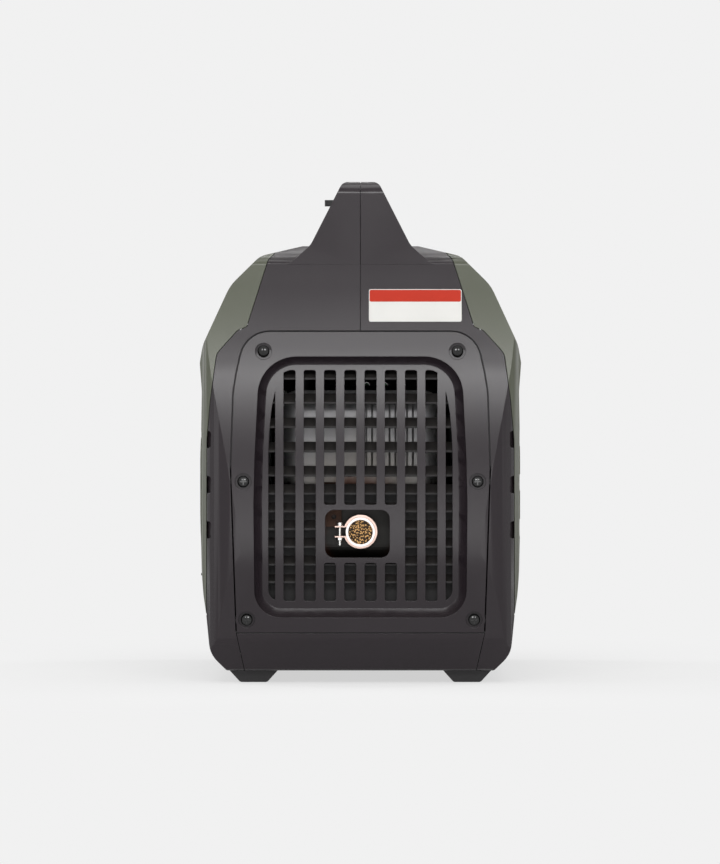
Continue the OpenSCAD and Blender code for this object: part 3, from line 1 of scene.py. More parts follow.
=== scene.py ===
import json
import math
import bpy
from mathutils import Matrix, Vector


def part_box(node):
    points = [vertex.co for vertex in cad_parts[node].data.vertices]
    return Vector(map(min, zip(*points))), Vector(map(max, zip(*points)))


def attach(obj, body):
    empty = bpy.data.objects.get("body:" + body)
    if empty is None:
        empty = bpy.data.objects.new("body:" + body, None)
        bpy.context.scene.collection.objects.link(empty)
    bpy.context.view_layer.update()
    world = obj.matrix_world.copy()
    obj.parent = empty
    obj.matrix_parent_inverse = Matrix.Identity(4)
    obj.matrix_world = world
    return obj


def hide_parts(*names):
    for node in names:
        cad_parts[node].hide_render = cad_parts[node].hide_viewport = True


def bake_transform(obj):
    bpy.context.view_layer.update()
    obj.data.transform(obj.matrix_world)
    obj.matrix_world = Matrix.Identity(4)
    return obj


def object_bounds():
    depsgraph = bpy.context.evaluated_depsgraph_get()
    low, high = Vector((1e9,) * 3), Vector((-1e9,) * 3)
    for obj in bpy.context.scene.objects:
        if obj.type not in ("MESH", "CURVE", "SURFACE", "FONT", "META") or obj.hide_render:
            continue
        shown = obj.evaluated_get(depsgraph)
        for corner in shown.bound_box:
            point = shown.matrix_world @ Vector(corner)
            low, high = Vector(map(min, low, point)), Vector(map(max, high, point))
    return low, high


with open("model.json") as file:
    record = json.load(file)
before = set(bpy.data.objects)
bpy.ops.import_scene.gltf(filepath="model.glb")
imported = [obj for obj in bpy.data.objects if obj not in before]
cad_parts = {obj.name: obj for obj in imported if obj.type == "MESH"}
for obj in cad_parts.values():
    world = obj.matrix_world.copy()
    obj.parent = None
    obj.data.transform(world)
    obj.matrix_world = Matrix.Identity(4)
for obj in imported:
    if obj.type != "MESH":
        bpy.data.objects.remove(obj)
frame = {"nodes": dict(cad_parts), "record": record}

# Dresses the generator: mouldings, metal, rubber, the rope, the screen in the exhaust and the panel marks
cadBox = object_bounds()
cadNodes = frame["nodes"]
bodyOfNode = {}
for bodyName, listed in frame["record"]["behaviour"]["bodies"].items():
    for nodeName in listed:
        bodyOfNode[nodeName] = bodyName
slotOfNode = {part["node"]: part["material_slot"] for part in frame["record"]["subparts"]}
print("frame is in:", len(cadNodes), "parts")

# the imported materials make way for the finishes
for old in list(bpy.data.materials):
    old.name = "packed_" + old.name

# how near corners are when they merge, the angle in degrees up to which faces are one flat face, and the
# pull that larger faces have on the shading
meshLook = {"merge": 0.000005, "mergePacked": 0.000004, "flat": 0.02, "weigh": 75}


# small helpers: what is selected, names, baked places, modifiers
def letGo():
    if bpy.context.object and bpy.context.object.mode != "OBJECT":
        bpy.ops.object.mode_set(mode="OBJECT")
    bpy.ops.object.select_all(action="DESELECT")


def takeUp(piece):
    letGo()
    piece.select_set(True)
    bpy.context.view_layer.objects.active = piece


def nameIt(piece, name):
    piece.name = name
    piece.data.name = name


def bakePlace(piece):
    takeUp(piece)
    bpy.ops.object.transform_apply(location=True, rotation=True, scale=True)


def useModifiers(piece):
    takeUp(piece)
    for step in list(piece.modifiers):
        bpy.ops.object.modifier_apply(modifier=step.name)


def joinPieces(pieces, name):
    letGo()
    for one in pieces:
        one.select_set(True)
    bpy.context.view_layer.objects.active = pieces[0]
    bpy.ops.object.join()
    nameIt(pieces[0], name)
    return pieces[0]


def faceOutwards(piece):
    takeUp(piece)
    bpy.ops.object.mode_set(mode="EDIT")
    bpy.ops.mesh.select_all(action="SELECT")
    bpy.ops.mesh.remove_doubles(threshold=meshLook["merge"])
    bpy.ops.mesh.normals_make_consistent(inside=False)
    bpy.ops.object.mode_set(mode="OBJECT")


# side is 1 for a wall that lies outside the given face, 0 for one that lies about it
def thicken(piece, depth, side):
    wall = piece.modifiers.new("thicken", "SOLIDIFY")
    wall.thickness = depth
    wall.offset = side
    useModifiers(piece)
    faceOutwards(piece)


# deletes every face that isn't wanted, and leaves the piece in edit mode
def keepFaces(piece, wanted):
    takeUp(piece)
    bpy.ops.object.mode_set(mode="EDIT")
    bpy.ops.mesh.select_mode(type="FACE")
    bpy.ops.mesh.select_all(action="DESELECT")
    bpy.ops.object.mode_set(mode="OBJECT")
    for face in piece.data.polygons:
        face.select = not wanted(face)
    bpy.ops.object.mode_set(mode="EDIT")
    bpy.ops.mesh.delete(type="FACE")


def sliceAt(piece, point, normal):
    takeUp(piece)
    bpy.ops.object.mode_set(mode="EDIT")
    bpy.ops.mesh.select_all(action="SELECT")
    bpy.ops.mesh.bisect(plane_co=point, plane_no=normal)
    bpy.ops.object.mode_set(mode="OBJECT")


def smoothByAngle(piece, degrees):
    takeUp(piece)
    bpy.ops.object.shade_smooth_by_angle(angle=math.radians(degrees))


# the broad end faces curve slowly: what counts as one, and how their shading is evened out
endLook = {"across": 0.06, "towards": 0.96, "crease": 6.0, "spread": 0.016, "slack": 0.12,
           "insideSlack": 0.3, "depth": 0.03, "least": 0.0002}


def isBroad(face):
    return abs(face.normal.x) < endLook["across"] and abs(face.normal.y) > endLook["towards"]


# keeps the broad end face apart from the walls and holes in it
def creaseEnd(piece):
    mesh = piece.data
    facesOf = {}
    for face in mesh.polygons:
        for key in face.edge_keys:
            facesOf.setdefault(key, []).append(face)
    limit = math.cos(math.radians(endLook["crease"]))
    for edge in mesh.edges:
        pair = facesOf.get(tuple(sorted(edge.vertices)), [])
        if len(pair) != 2:
            continue
        if isBroad(pair[0]) != isBroad(pair[1]) and pair[0].normal.dot(pair[1].normal) < limit:
            edge.use_edge_sharp = True


# the mean tilt of the strips round a height, and how far a strip's own tilt may be from it
def tiltAt(z, side, middle, strips):
    low, high = z - endLook["spread"], z + endLook["spread"]
    total, weight, above, below = 0.0, 0.0, False, False
    for face, bottom, top, tilt in strips:
        if (face.normal.y > 0) != side or abs(face.center.y - middle) > endLook["depth"]:
            continue
        shared = min(top, high) - max(bottom, low)
        if shared > 0:
            share = shared * face.area / max(top - bottom, endLook["least"])
            total += tilt * share
            weight += share
            above = above or top > high
            below = below or bottom < low
    mean = total / weight if weight > 0 else None
    return mean, endLook["insideSlack" if above and below else "slack"]


# lets the broad end faces shade as one slow curve
def evenEnd(piece):
    mesh = piece.data
    strips = []
    for face in mesh.polygons:
        if isBroad(face):
            heights = [mesh.vertices[i].co.z for i in face.vertices]
            strips.append((face, min(heights), max(heights), face.normal.z / abs(face.normal.y)))
    if not strips:
        return
    normals = [tuple(corner.vector) for corner in mesh.corner_normals]
    means = {}
    for face, *_, tilt in strips:
        for corner in face.loop_indices:
            z = mesh.vertices[mesh.loops[corner].vertex_index].co.z
            side = face.normal.y > 0
            key = (round(z, 4), side, round(face.center.y, 2))
            if key not in means:
                means[key] = tiltAt(z, side, face.center.y, strips)
            mean, slack = means[key]
            if mean is not None and abs(mean - tilt) <= slack:
                leaning = Vector((face.normal.x, face.normal.y, mean * abs(face.normal.y)))
                normals[corner] = tuple(leaning.normalized())
    mesh.normals_split_custom_set(normals)


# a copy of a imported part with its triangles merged, smooth over the rounds and crisp at the edges
def softCopy(nodeName, degrees, flatEnd=False):
    source = cadNodes[nodeName]
    piece = source.copy()
    piece.data = source.data.copy()
    piece.parent = None
    piece.matrix_world = source.matrix_world.copy()
    bpy.context.scene.collection.objects.link(piece)
    nameIt(piece, nodeName + "_skin")
    for key in list(piece.keys()):
        del piece[key]
    piece.hide_viewport = False
    piece.hide_render = False
    piece.hide_set(False)
    takeUp(piece)
    bpy.ops.object.mode_set(mode="EDIT")
    bpy.ops.mesh.select_all(action="SELECT")
    bpy.ops.mesh.remove_doubles(threshold=meshLook["mergePacked"])
    bpy.ops.mesh.dissolve_limited(angle_limit=math.radians(meshLook["flat"]))
    bpy.ops.object.mode_set(mode="OBJECT")
    smoothByAngle(piece, degrees)
    if flatEnd:
        creaseEnd(piece)
    else:
        weigh = piece.modifiers.new("weighted", "WEIGHTED_NORMAL")
        weigh.keep_sharp = True
        weigh.weight = meshLook["weigh"]
        useModifiers(piece)
    evenEnd(piece)
    return piece


def seat(piece, material, body, stands=()):
    piece.data.materials.clear()
    piece.data.materials.append(material)
    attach(piece, body)
    if stands:
        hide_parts(*stands)


# shader helpers; each group is built once and placed in many finishes
def newGroup(name, inputs, outputs):
    tree = bpy.data.node_groups.new(name, "ShaderNodeTree")
    for label, value in inputs.items():
        made = tree.interface.new_socket(name=label, in_out="INPUT", socket_type="NodeSocketFloat")
        made.default_value = value
    for label in outputs:
        tree.interface.new_socket(name=label, in_out="OUTPUT", socket_type="NodeSocketFloat")
    return tree, tree.nodes.new("NodeGroupInput"), tree.nodes.new("NodeGroupOutput")


def placeGroup(tree, group, **values):
    made = tree.nodes.new("ShaderNodeGroup")
    made.node_tree = group
    for key, value in values.items():
        made.inputs[key.replace("_", " ")].default_value = value
    return made


def add(tree, kind, **settings):
    made = tree.nodes.new(kind)
    for key, value in settings.items():
        setattr(made, key, value)
    return made


def wire(tree, a, b):
    tree.links.new(a, b)


def put(tree, value, socket):
    if isinstance(value, (int, float)):
        socket.default_value = value
    elif isinstance(value, tuple):
        socket.default_value = (*value, 1.0)
    else:
        wire(tree, value, socket)


def maths(tree, operation, a, b=None, clamp=False):
    made = add(tree, "ShaderNodeMath", operation=operation, use_clamp=clamp)
    put(tree, a, made.inputs[0])
    if b is not None:
        put(tree, b, made.inputs[1])
    return made.outputs[0]


def times(tree, a, b, clamp=False):
    return maths(tree, "MULTIPLY", a, b, clamp)


def mixColour(tree, factor, a, b):
    made = add(tree, "ShaderNodeMix", data_type="RGBA")
    wire(tree, factor, made.inputs["Factor"])
    put(tree, a, made.inputs[6])
    put(tree, b, made.inputs[7])
    return made.outputs[2]


def objectPlace(tree):
    return add(tree, "ShaderNodeTexCoord").outputs["Object"]


def objectAxes(tree):
    parts = add(tree, "ShaderNodeSeparateXYZ")
    wire(tree, objectPlace(tree), parts.inputs["Vector"])
    return parts.outputs


def ramp(tree, value, low, high, start=0.0, end=1.0, kind="SMOOTHSTEP"):
    made = add(tree, "ShaderNodeMapRange", interpolation_type=kind)
    made.inputs["From Min"].default_value = low
    made.inputs["From Max"].default_value = high
    made.inputs["To Min"].default_value = start
    made.inputs["To Max"].default_value = end
    wire(tree, value, made.inputs["Value"])
    return made.outputs["Result"]


def speckle(tree, scale, detail=4.0, roughness=0.5):
    made = add(tree, "ShaderNodeTexNoise")
    made.inputs["Detail"].default_value = detail
    made.inputs["Roughness"].default_value = roughness
    put(tree, scale, made.inputs["Scale"])
    wire(tree, objectPlace(tree), made.inputs["Vector"])
    return made.outputs["Fac"]


# edges lighter in colour where the rounded normal leaves the true one: partly bare, rubbed plastic and partly
# a painted highlight along the edges
edgeLook = {"width": 0.0012, "amount": 0.5, "scale": 90.0, "samples": 4, "gain": 9.0, "detail": 4.0,
            "roughness": 0.65, "patchFrom": 0.42, "patchTo": 0.68}


def buildWornAndHighlightEdges():
    inputs = {"Width": edgeLook["width"], "Amount": edgeLook["amount"], "Scale": edgeLook["scale"]}
    tree, start, end = newGroup("wornAndHighlightEdges", inputs, ["Mask"])
    rounded = add(tree, "ShaderNodeBevel", samples=edgeLook["samples"])
    wire(tree, start.outputs["Width"], rounded.inputs["Radius"])
    place = add(tree, "ShaderNodeNewGeometry")
    dot = add(tree, "ShaderNodeVectorMath", operation="DOT_PRODUCT")
    wire(tree, rounded.outputs["Normal"], dot.inputs[0])
    wire(tree, place.outputs["Normal"], dot.inputs[1])
    edge = maths(tree, "SUBTRACT", 1.0, dot.outputs["Value"])
    edge = times(tree, edge, edgeLook["gain"], clamp=True)
    patches = speckle(tree, start.outputs["Scale"], edgeLook["detail"], edgeLook["roughness"])
    level = ramp(tree, patches, edgeLook["patchFrom"], edgeLook["patchTo"], kind="LINEAR")
    wornAndHighlight = times(tree, times(tree, edge, level), start.outputs["Amount"], clamp=True)
    wire(tree, wornAndHighlight, end.inputs["Mask"])
    return tree


# the fine spark texture of a moulding tool, with slow unevenness in it
grainLook = {"scale": 1500.0, "cloudScale": 14.0, "detail": 2.0, "roughness": 0.6, "cloudDetail": 5.0,
             "cloudRoughness": 0.55}


def buildMouldGrain():
    inputs = {"Scale": grainLook["scale"], "Cloud Scale": grainLook["cloudScale"]}
    tree, start, end = newGroup("mouldGrain", inputs, ["Height", "Cloud"])
    fine = speckle(tree, start.outputs["Scale"], grainLook["detail"], grainLook["roughness"])
    cloud = speckle(tree, start.outputs["Cloud Scale"], grainLook["cloudDetail"], grainLook["cloudRoughness"])
    wire(tree, fine, end.inputs["Height"])
    wire(tree, cloud, end.inputs["Cloud"])
    return tree


# dust lies on what faces up, thicker in patches
dustLook = {"amount": 0.2, "scale": 60.0, "upFrom": 0.1, "upTo": 1.0, "detail": 8.0, "roughness": 0.7,
            "colour": (0.42, 0.39, 0.35)}


def buildSettledDust():
    inputs = {"Amount": dustLook["amount"], "Scale": dustLook["scale"]}
    tree, start, end = newGroup("settledDust", inputs, ["Mask"])
    place = add(tree, "ShaderNodeNewGeometry")
    parts = add(tree, "ShaderNodeSeparateXYZ")
    wire(tree, place.outputs["Normal"], parts.inputs["Vector"])
    up = ramp(tree, parts.outputs["Z"], dustLook["upFrom"], dustLook["upTo"], kind="LINEAR")
    spots = speckle(tree, start.outputs["Scale"], dustLook["detail"], dustLook["roughness"])
    laid = times(tree, times(tree, up, spots), start.outputs["Amount"], clamp=True)
    wire(tree, laid, end.inputs["Mask"])
    return tree


wornAndHighlightEdges = buildWornAndHighlightEdges()
mouldGrain = buildMouldGrain()
settledDust = buildSettledDust()
print("shader groups are ready")

# what a finish has unless its own entry says otherwise
plainLook = {"grain": 1500.0, "cloud": 14.0, "drift": 0.12, "roughSpread": 0.06, "wearAndHighlight": 0.0,
             "wearAndHighlightWidth": 0.0012, "dust": 0.0, "graze": 0.0, "metal": 0.0, "specular": 0.5, "coat": 0.0,
             "bump": 0.35, "bumpDepth": 0.00012, "round": 0.0007, "reliefDepth": 0.0}
# what all finishes share; a face grows rougher as it is seen at a glance, between the two graze values
finishLook = {"leastRough": 0.03, "coatRough": 0.08, "wornAndHighlightGain": 2.2, "wornAndHighlightLift": 0.02, "grazeBlend": 0.3,
              "grazeFrom": 0.45, "grazeTo": 0.95, "bevelSamples": 4}


# the colour: slow clouds, a stain (on some finishes painted shade instead), edges lighter as partly rubbed
# wear and partly painted highlight, and dust
def paintBase(tree, look, cloud, stainAndShade):
    colour = look["colour"]
    light = tuple(min(1.0, c * (1 + look["drift"])) for c in colour)
    dark = tuple(c * (1 - look["drift"]) for c in colour)
    base = mixColour(tree, cloud, dark, light)
    if stainAndShade:
        base = stainAndShade(tree, base)
    # painted highlight along the edges, together with real rubbed wear: a lighter colour where the edge mask
    # is
    if look["wearAndHighlight"] > 0:
        wornAndHighlight = placeGroup(tree, wornAndHighlightEdges, Width=look["wearAndHighlightWidth"], Amount=look["wearAndHighlight"])
        bareAndHighlight = tuple(min(1.0, c * finishLook["wornAndHighlightGain"] + finishLook["wornAndHighlightLift"]) for c in colour)
        base = mixColour(tree, wornAndHighlight.outputs["Mask"], base, look.get("wearAndHighlightColour", bareAndHighlight))
    if look["dust"] > 0:
        dust = placeGroup(tree, settledDust, Amount=look["dust"])
        base = mixColour(tree, dust.outputs["Mask"], base, dustLook["colour"])
    return base


# the surface: rounded edges, pressed shapes, fine bumps
def raiseSurface(tree, look, height, relief):
    under = None
    if look["round"] > 0:
        rounded = add(tree, "ShaderNodeBevel", samples=finishLook["bevelSamples"])
        rounded.inputs["Radius"].default_value = look["round"]
        under = rounded.outputs["Normal"]
    if relief:
        pressed = add(tree, "ShaderNodeBump")
        pressed.inputs["Distance"].default_value = look["reliefDepth"]
        wire(tree, relief(tree), pressed.inputs["Height"])
        if under:
            wire(tree, under, pressed.inputs["Normal"])
        under = pressed.outputs["Normal"]
    bump = add(tree, "ShaderNodeBump")
    bump.inputs["Distance"].default_value = look["bumpDepth"]
    bump.inputs["Strength"].default_value = look["bump"]
    wire(tree, height, bump.inputs["Height"])
    if under:
        wire(tree, under, bump.inputs["Normal"])
    return bump.outputs["Normal"]


# one finish, from what its own entry says laid over the plain one
def makeFinish(name, ownLook, stainAndShade=None, relief=None):
    look = {**plainLook, **ownLook}
    finish = bpy.data.materials.new(name)
    finish.use_nodes = True
    tree = finish.node_tree
    tree.nodes.clear()
    out = add(tree, "ShaderNodeOutputMaterial")
    shader = add(tree, "ShaderNodeBsdfPrincipled")
    wire(tree, shader.outputs[0], out.inputs["Surface"])
    grain = placeGroup(tree, mouldGrain, Scale=look["grain"], Cloud_Scale=look["cloud"])
    cloud = grain.outputs["Cloud"]
    wire(tree, paintBase(tree, look, cloud, stainAndShade), shader.inputs["Base Color"])
    smoothest = max(finishLook["leastRough"], look["rough"] - look["roughSpread"])
    gloss = ramp(tree, cloud, 0.0, 1.0, smoothest, min(1.0, look["rough"] + look["roughSpread"]), "LINEAR")
    if look["graze"] > 0:
        shader.distribution = "GGX"
        facing = add(tree, "ShaderNodeLayerWeight")
        facing.inputs["Blend"].default_value = finishLook["grazeBlend"]
        near, far = finishLook["grazeFrom"], finishLook["grazeTo"]
        rim = ramp(tree, facing.outputs["Facing"], near, far, 0.0, look["graze"])
        gloss = maths(tree, "MAXIMUM", gloss, rim)
    wire(tree, gloss, shader.inputs["Roughness"])
    shader.inputs["Metallic"].default_value = look["metal"]
    shader.inputs["Specular IOR Level"].default_value = look["specular"]
    if look["coat"] > 0:
        shader.inputs["Coat Weight"].default_value = look["coat"]
        shader.inputs["Coat Roughness"].default_value = finishLook["coatRough"]
    wire(tree, raiseSurface(tree, look, grain.outputs["Height"], relief), shader.inputs["Normal"])
    return finish


finishes = {
    "shell_grey": dict(colour=(0.0148, 0.0104, 0.0132), rough=0.25, grain=1300.0, bump=0.1, drift=0.08,
        wearAndHighlight=0.25, dust=0.04, specular=0.34, roughSpread=0.03, graze=0.9),
    "olive_panel": dict(colour=(0.07, 0.075, 0.052), rough=0.3, grain=1300.0, bump=0.14, drift=0.07,
        wearAndHighlight=0.2, dust=0.05, specular=0.34, roughSpread=0.03, graze=0.9),
    "black_plastic": dict(colour=(0.011, 0.011, 0.012), rough=0.35, grain=1200.0, bump=0.2, drift=0.15,
        wearAndHighlight=0.2, dust=0.06, specular=0.3),
    "rubber": dict(colour=(0.03, 0.029, 0.03), rough=0.6, grain=700.0, bump=0.5, drift=0.25, dust=0.15,
        roughSpread=0.1, specular=0.3),
    "black_steel": dict(colour=(0.004, 0.004, 0.004), rough=0.06, grain=500.0, bump=0.02, drift=0.2,
        round=0.0002, specular=0.5, roughSpread=0.03),
    "bright_steel": dict(colour=(0.62, 0.61, 0.59), rough=0.28, grain=900.0, bump=0.12, drift=0.15,
        metal=1.0, roughSpread=0.12, wearAndHighlight=0.2),
    "cast_aluminium": dict(colour=(0.45, 0.45, 0.46), rough=0.55, grain=420.0, bump=0.6, drift=0.15,
        metal=0.85, roughSpread=0.12, dust=0.15, wearAndHighlight=0.2),
    "painted_cover": dict(colour=(0.03, 0.03, 0.03), rough=0.35, grain=600.0, bump=0.2, drift=0.2, coat=0.2,
        wearAndHighlight=0.3),
    "copper_winding": dict(colour=(0.42, 0.15, 0.045), rough=0.35, grain=380.0, bump=0.8, drift=0.3,
        metal=0.7, coat=0.3),
    "rotor_steel": dict(colour=(0.3, 0.3, 0.31), rough=0.4, grain=500.0, bump=0.2, drift=0.2, metal=0.95),
    "white_ceramic": dict(colour=(0.82, 0.81, 0.78), rough=0.15, grain=300.0, bump=0.05, drift=0.04,
        coat=0.4),
    "filter_foam": dict(colour=(0.05, 0.05, 0.05), rough=0.95, grain=240.0, bump=1.0, drift=0.4),
    "pulley_nylon": dict(colour=(0.62, 0.58, 0.5), rough=0.45, grain=700.0, bump=0.2, drift=0.08),
    "rope_fibre": dict(colour=(0.6, 0.58, 0.54), rough=0.85, grain=900.0, bump=0.6, drift=0.2, round=0),
    "grip_plastic": dict(colour=(0.014, 0.014, 0.014), rough=0.5, grain=1100.0, bump=0.4, drift=0.15,
        wearAndHighlight=0.3),
    "switch_grey": dict(colour=(0.05, 0.05, 0.05), rough=0.35, grain=1300.0, bump=0.15, drift=0.1),
    "button_white": dict(colour=(0.72, 0.71, 0.68), rough=0.3, grain=900.0, bump=0.1, drift=0.04, coat=0.2),
    "lamp_green": dict(colour=(0.1, 0.42, 0.14), rough=0.1, grain=400.0, bump=0.05, drift=0.1, coat=0.8),
    "socket_red": dict(colour=(0.42, 0.02, 0.018), rough=0.25, grain=900.0, bump=0.1, drift=0.1, coat=0.3),
    "brass": dict(colour=(0.68, 0.48, 0.2), rough=0.3, grain=700.0, bump=0.12, drift=0.15, metal=1.0,
        wearAndHighlight=0.2),
}
finishOf = {name: makeFinish(name, look) for name, look in finishes.items()}
print("finishes are made:", len(finishOf))

pipeLow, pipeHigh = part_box("tailpipe")
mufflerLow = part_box("muffler")[0]
pipeAxis = ((pipeLow.x + pipeHigh.x) / 2, (pipeLow.z + pipeHigh.z) / 2)


def farFromPipe(tree, x, z):
    across = maths(tree, "SUBTRACT", x, pipeAxis[0])
    up = maths(tree, "SUBTRACT", z, pipeAxis[1])
    return maths(tree, "SQRT", maths(tree, "ADD", times(tree, across, across), times(tree, up, up)))


# a straw tint that fades into clean plate, then rust, then soot: how much each covers and where it fades,
# measured from the outlet's axis
sootLook = {"spots": 55.0, "wander": 0.02, "faceFrom": 0.03, "faceTo": 0.045, "layers": [
    {"colour": (0.21, 0.19, 0.165), "share": 0.7, "from": 0.052, "to": 0.1},
    {"colour": (0.13, 0.035, 0.012), "share": 1.0, "from": 0.035, "to": 0.06},
    {"colour": (0.006, 0.005, 0.004), "share": 1.0, "from": 0.028, "to": 0.052},
]}


def stainMuffler(tree, base):
    place = objectAxes(tree)
    away = farFromPipe(tree, place["X"], place["Z"])
    spots = maths(tree, "SUBTRACT", speckle(tree, sootLook["spots"]), 0.5)
    shifted = maths(tree, "ADD", away, times(tree, spots, sootLook["wander"]))
    near, far = mufflerLow.y + sootLook["faceFrom"], mufflerLow.y + sootLook["faceTo"]
    nearFace = ramp(tree, place["Y"], near, far, 1.0, 0.0)
    for layer in sootLook["layers"]:
        cover = ramp(tree, shifted, layer["from"], layer["to"], layer["share"], 0.0)
        base = mixColour(tree, times(tree, cover, nearFace), base, layer["colour"])
    return base


# upright ribs pressed into the right half of the muffler's end
ribLook = {"pitch": 0.0105, "side": 0.6, "left": (0.003, 0.006), "right": (0.052, 0.055),
           "bottom": (0.186, 0.192), "top": (0.25, 0.256)}


def between(tree, value, rise, fall):
    return times(tree, ramp(tree, value, *rise), ramp(tree, value, *fall, 1.0, 0.0))


def pressMuffler(tree):
    place = objectAxes(tree)
    wave = maths(tree, "SINE", times(tree, place["X"], 2 * math.pi / ribLook["pitch"]))
    wave = ramp(tree, wave, -ribLook["side"], ribLook["side"])
    across = between(tree, place["X"], ribLook["left"], ribLook["right"])
    upward = between(tree, place["Z"], ribLook["bottom"], ribLook["top"])
    return times(tree, wave, times(tree, across, upward))


# gold brown wires with black between them; the black is painted shade, the dark inside as it would show
# through the openings of the screen
screenLook = {"cells": 620.0, "wireFrom": 0.25, "wireTo": 0.55, "colour": (0.012, 0.007, 0.004)}


def shadeScreenHoles(tree, base):
    cells = add(tree, "ShaderNodeTexVoronoi")
    cells.inputs["Scale"].default_value = screenLook["cells"]
    wire(tree, objectPlace(tree), cells.inputs["Vector"])
    # painted shade: black where the dark inside would show between the wires
    holeShade = ramp(tree, cells.outputs["Distance"], screenLook["wireFrom"], screenLook["wireTo"])
    return mixColour(tree, holeShade, base, screenLook["colour"])


# heat colours creep back from the hot end of the pipe
heatLook = {"clean": 0.004, "share": 0.85, "colour": (0.16, 0.07, 0.03)}


def stainPipe(tree, base):
    along = objectAxes(tree)["Y"]
    back = ramp(tree, along, pipeLow.y + heatLook["clean"], pipeHigh.y, 0.0, heatLook["share"])
    return mixColour(tree, back, base, heatLook["colour"])


ownFinish = {
    "muffler": makeFinish("muffler_plate", dict(
        colour=(0.27, 0.265, 0.27), rough=0.42, grain=420.0, cloud=24.0, bump=0.25, drift=0.16, metal=0.55,
        roughSpread=0.14, dust=0.12, reliefDepth=0.0022), stainMuffler, pressMuffler),
    "exhaust_bracket": makeFinish("rusty_bracket", dict(
        colour=(0.05, 0.022, 0.012), rough=0.62, grain=380.0, cloud=160.0, bump=0.6, drift=0.5, metal=0.5,
        wearAndHighlight=0.2)),
    "spark_arrestor": makeFinish("spark_screen", dict(
        colour=(0.42, 0.24, 0.09), rough=0.42, grain=600.0, cloud=260.0, bump=0.5, drift=0.6, metal=0.8),
        shadeScreenHoles),
    "tailpipe": makeFinish("pipe_steel", dict(
        colour=(0.62, 0.57, 0.55), rough=0.3, grain=700.0, bump=0.15, drift=0.1, metal=0.85,
        roughSpread=0.12), stainPipe),
    "exhaust_clamp": makeFinish("clamp_steel", dict(
        colour=(0.62, 0.46, 0.4), rough=0.34, grain=700.0, cloud=90.0, bump=0.2, drift=0.3, metal=0.85,
        roughSpread=0.14)),
    # its slats have lighter edges: partly rubbed wear, partly a painted highlight along them
    "louvre_panel": makeFinish("louvre_plastic", dict(
        colour=(0.008, 0.007, 0.0075), rough=0.5, grain=700.0, cloud=60.0, bump=0.4, drift=0.3, wearAndHighlight=0.5,
        dust=0.08, specular=0.25, wearAndHighlightColour=(0.09, 0.085, 0.085))),
}
for nodeName, packed in cadNodes.items():
    packed.data.materials.clear()
    packed.data.materials.append(ownFinish.get(nodeName) or finishOf[slotOfNode[nodeName]])
print("finishes are on:", len(cadNodes), "parts")

# mouldings whose rounds are smoothed, each up to an angle in degrees
smoothed = {
    "left_body_shell": 34, "right_body_shell": 34, "left_side_panel": 34, "right_side_panel": 34,
    "rear_cover": 34, "front_cover": 34, "base_tray": 34, "maintenance_door": 34, "control_panel": 34,
    "fuel_cap": 40, "starter_grip": 40,
}
endCovers = ("rear_cover", "front_cover")
skins = {}
for nodeName, degrees in smoothed.items():
    skin = softCopy(nodeName, degrees, nodeName in endCovers)
    seat(skin, finishOf[slotOfNode[nodeName]], bodyOfNode[nodeName], [nodeName])
    skins[nodeName] = skin
print("mouldings are smoothed:", len(smoothed))

# the tongue of one moulding that closes the seam between them, set back from the outside
seamLook = {"angle": 24, "facing": 0.99, "near": 0.00005, "setBack": 0.0008, "thick": 0.00048}


def buildTongue():
    tongue = softCopy("left_body_shell", seamLook["angle"])
    seamX = max(corner.co.x for corner in tongue.data.vertices)

    def atSeam(face):
        return face.normal.x > seamLook["facing"] and abs(face.center.x - seamX) < seamLook["near"]

    keepFaces(tongue, atSeam)
    bpy.ops.mesh.select_all(action="SELECT")
    bpy.ops.mesh.inset(thickness=seamLook["setBack"], use_boundary=True)
    bpy.ops.mesh.select_all(action="INVERT")
    bpy.ops.mesh.delete(type="FACE")
    bpy.ops.object.mode_set(mode="OBJECT")
    thicken(tongue, seamLook["thick"], 1)
    nameIt(tongue, "seam_tongue")
    return tongue


seat(buildTongue(), finishOf["black_plastic"], bodyOfNode["left_body_shell"])

# dark sheet in the gap round each end cover, set back from its face: painted shade that stands for the dark
# inside seen through the seam, in the rubber finish
seamShadeLook = {"angle": 24, "flat": 0.2, "near": 0.02, "slack": 0.0004, "setBack": 0.0022, "thick": 0.0013}


def buildSeamShadeSheet(coverName):
    shadeSheet = softCopy(coverName, seamShadeLook["angle"], flatEnd=True)
    corners = [vertex.co.copy() for vertex in shadeSheet.data.vertices]
    left, right = min(corner.x for corner in corners), max(corner.x for corner in corners)
    bottom, top = min(corner.z for corner in corners), max(corner.z for corner in corners)
    inwards = 1 if sum(corner.y for corner in corners) < 0 else -1

    def atRim(face):
        centre = face.center
        across = Vector((face.normal.x, 0, face.normal.z))
        fromEdge = min(centre.x - left, right - centre.x, centre.z - bottom, top - centre.z)
        if abs(face.normal.y) >= seamShadeLook["flat"] or fromEdge >= seamShadeLook["near"]:
            return False
        return max(across.dot(corner - centre) for corner in corners) < seamShadeLook["slack"]

    keepFaces(shadeSheet, atRim)
    bpy.ops.object.mode_set(mode="OBJECT")
    shadeSheet.location.y = inwards * seamShadeLook["setBack"]
    bakePlace(shadeSheet)
    thicken(shadeSheet, seamShadeLook["thick"], 1)
    nameIt(shadeSheet, coverName + "_seal")
    return shadeSheet


for coverName in endCovers:
    seat(buildSeamShadeSheet(coverName), finishOf["rubber"], bodyOfNode[coverName])
print("seams are closed")

# plain plate stuck to the right moulding above the louvres: white, with a red strip along its top
labelLook = {"left": 0.0076, "right": 0.0908, "bottom": 0.3246, "top": 0.3537, "strip": 0.3425,
             "corner": 0.0016, "cornerCuts": 5, "inset": 0.0006, "margin": 0.0006, "thickness": 0.0004,
             "proud": 0.0001, "clear": 0.01, "columns": 22, "rows": 8, "angle": 40}


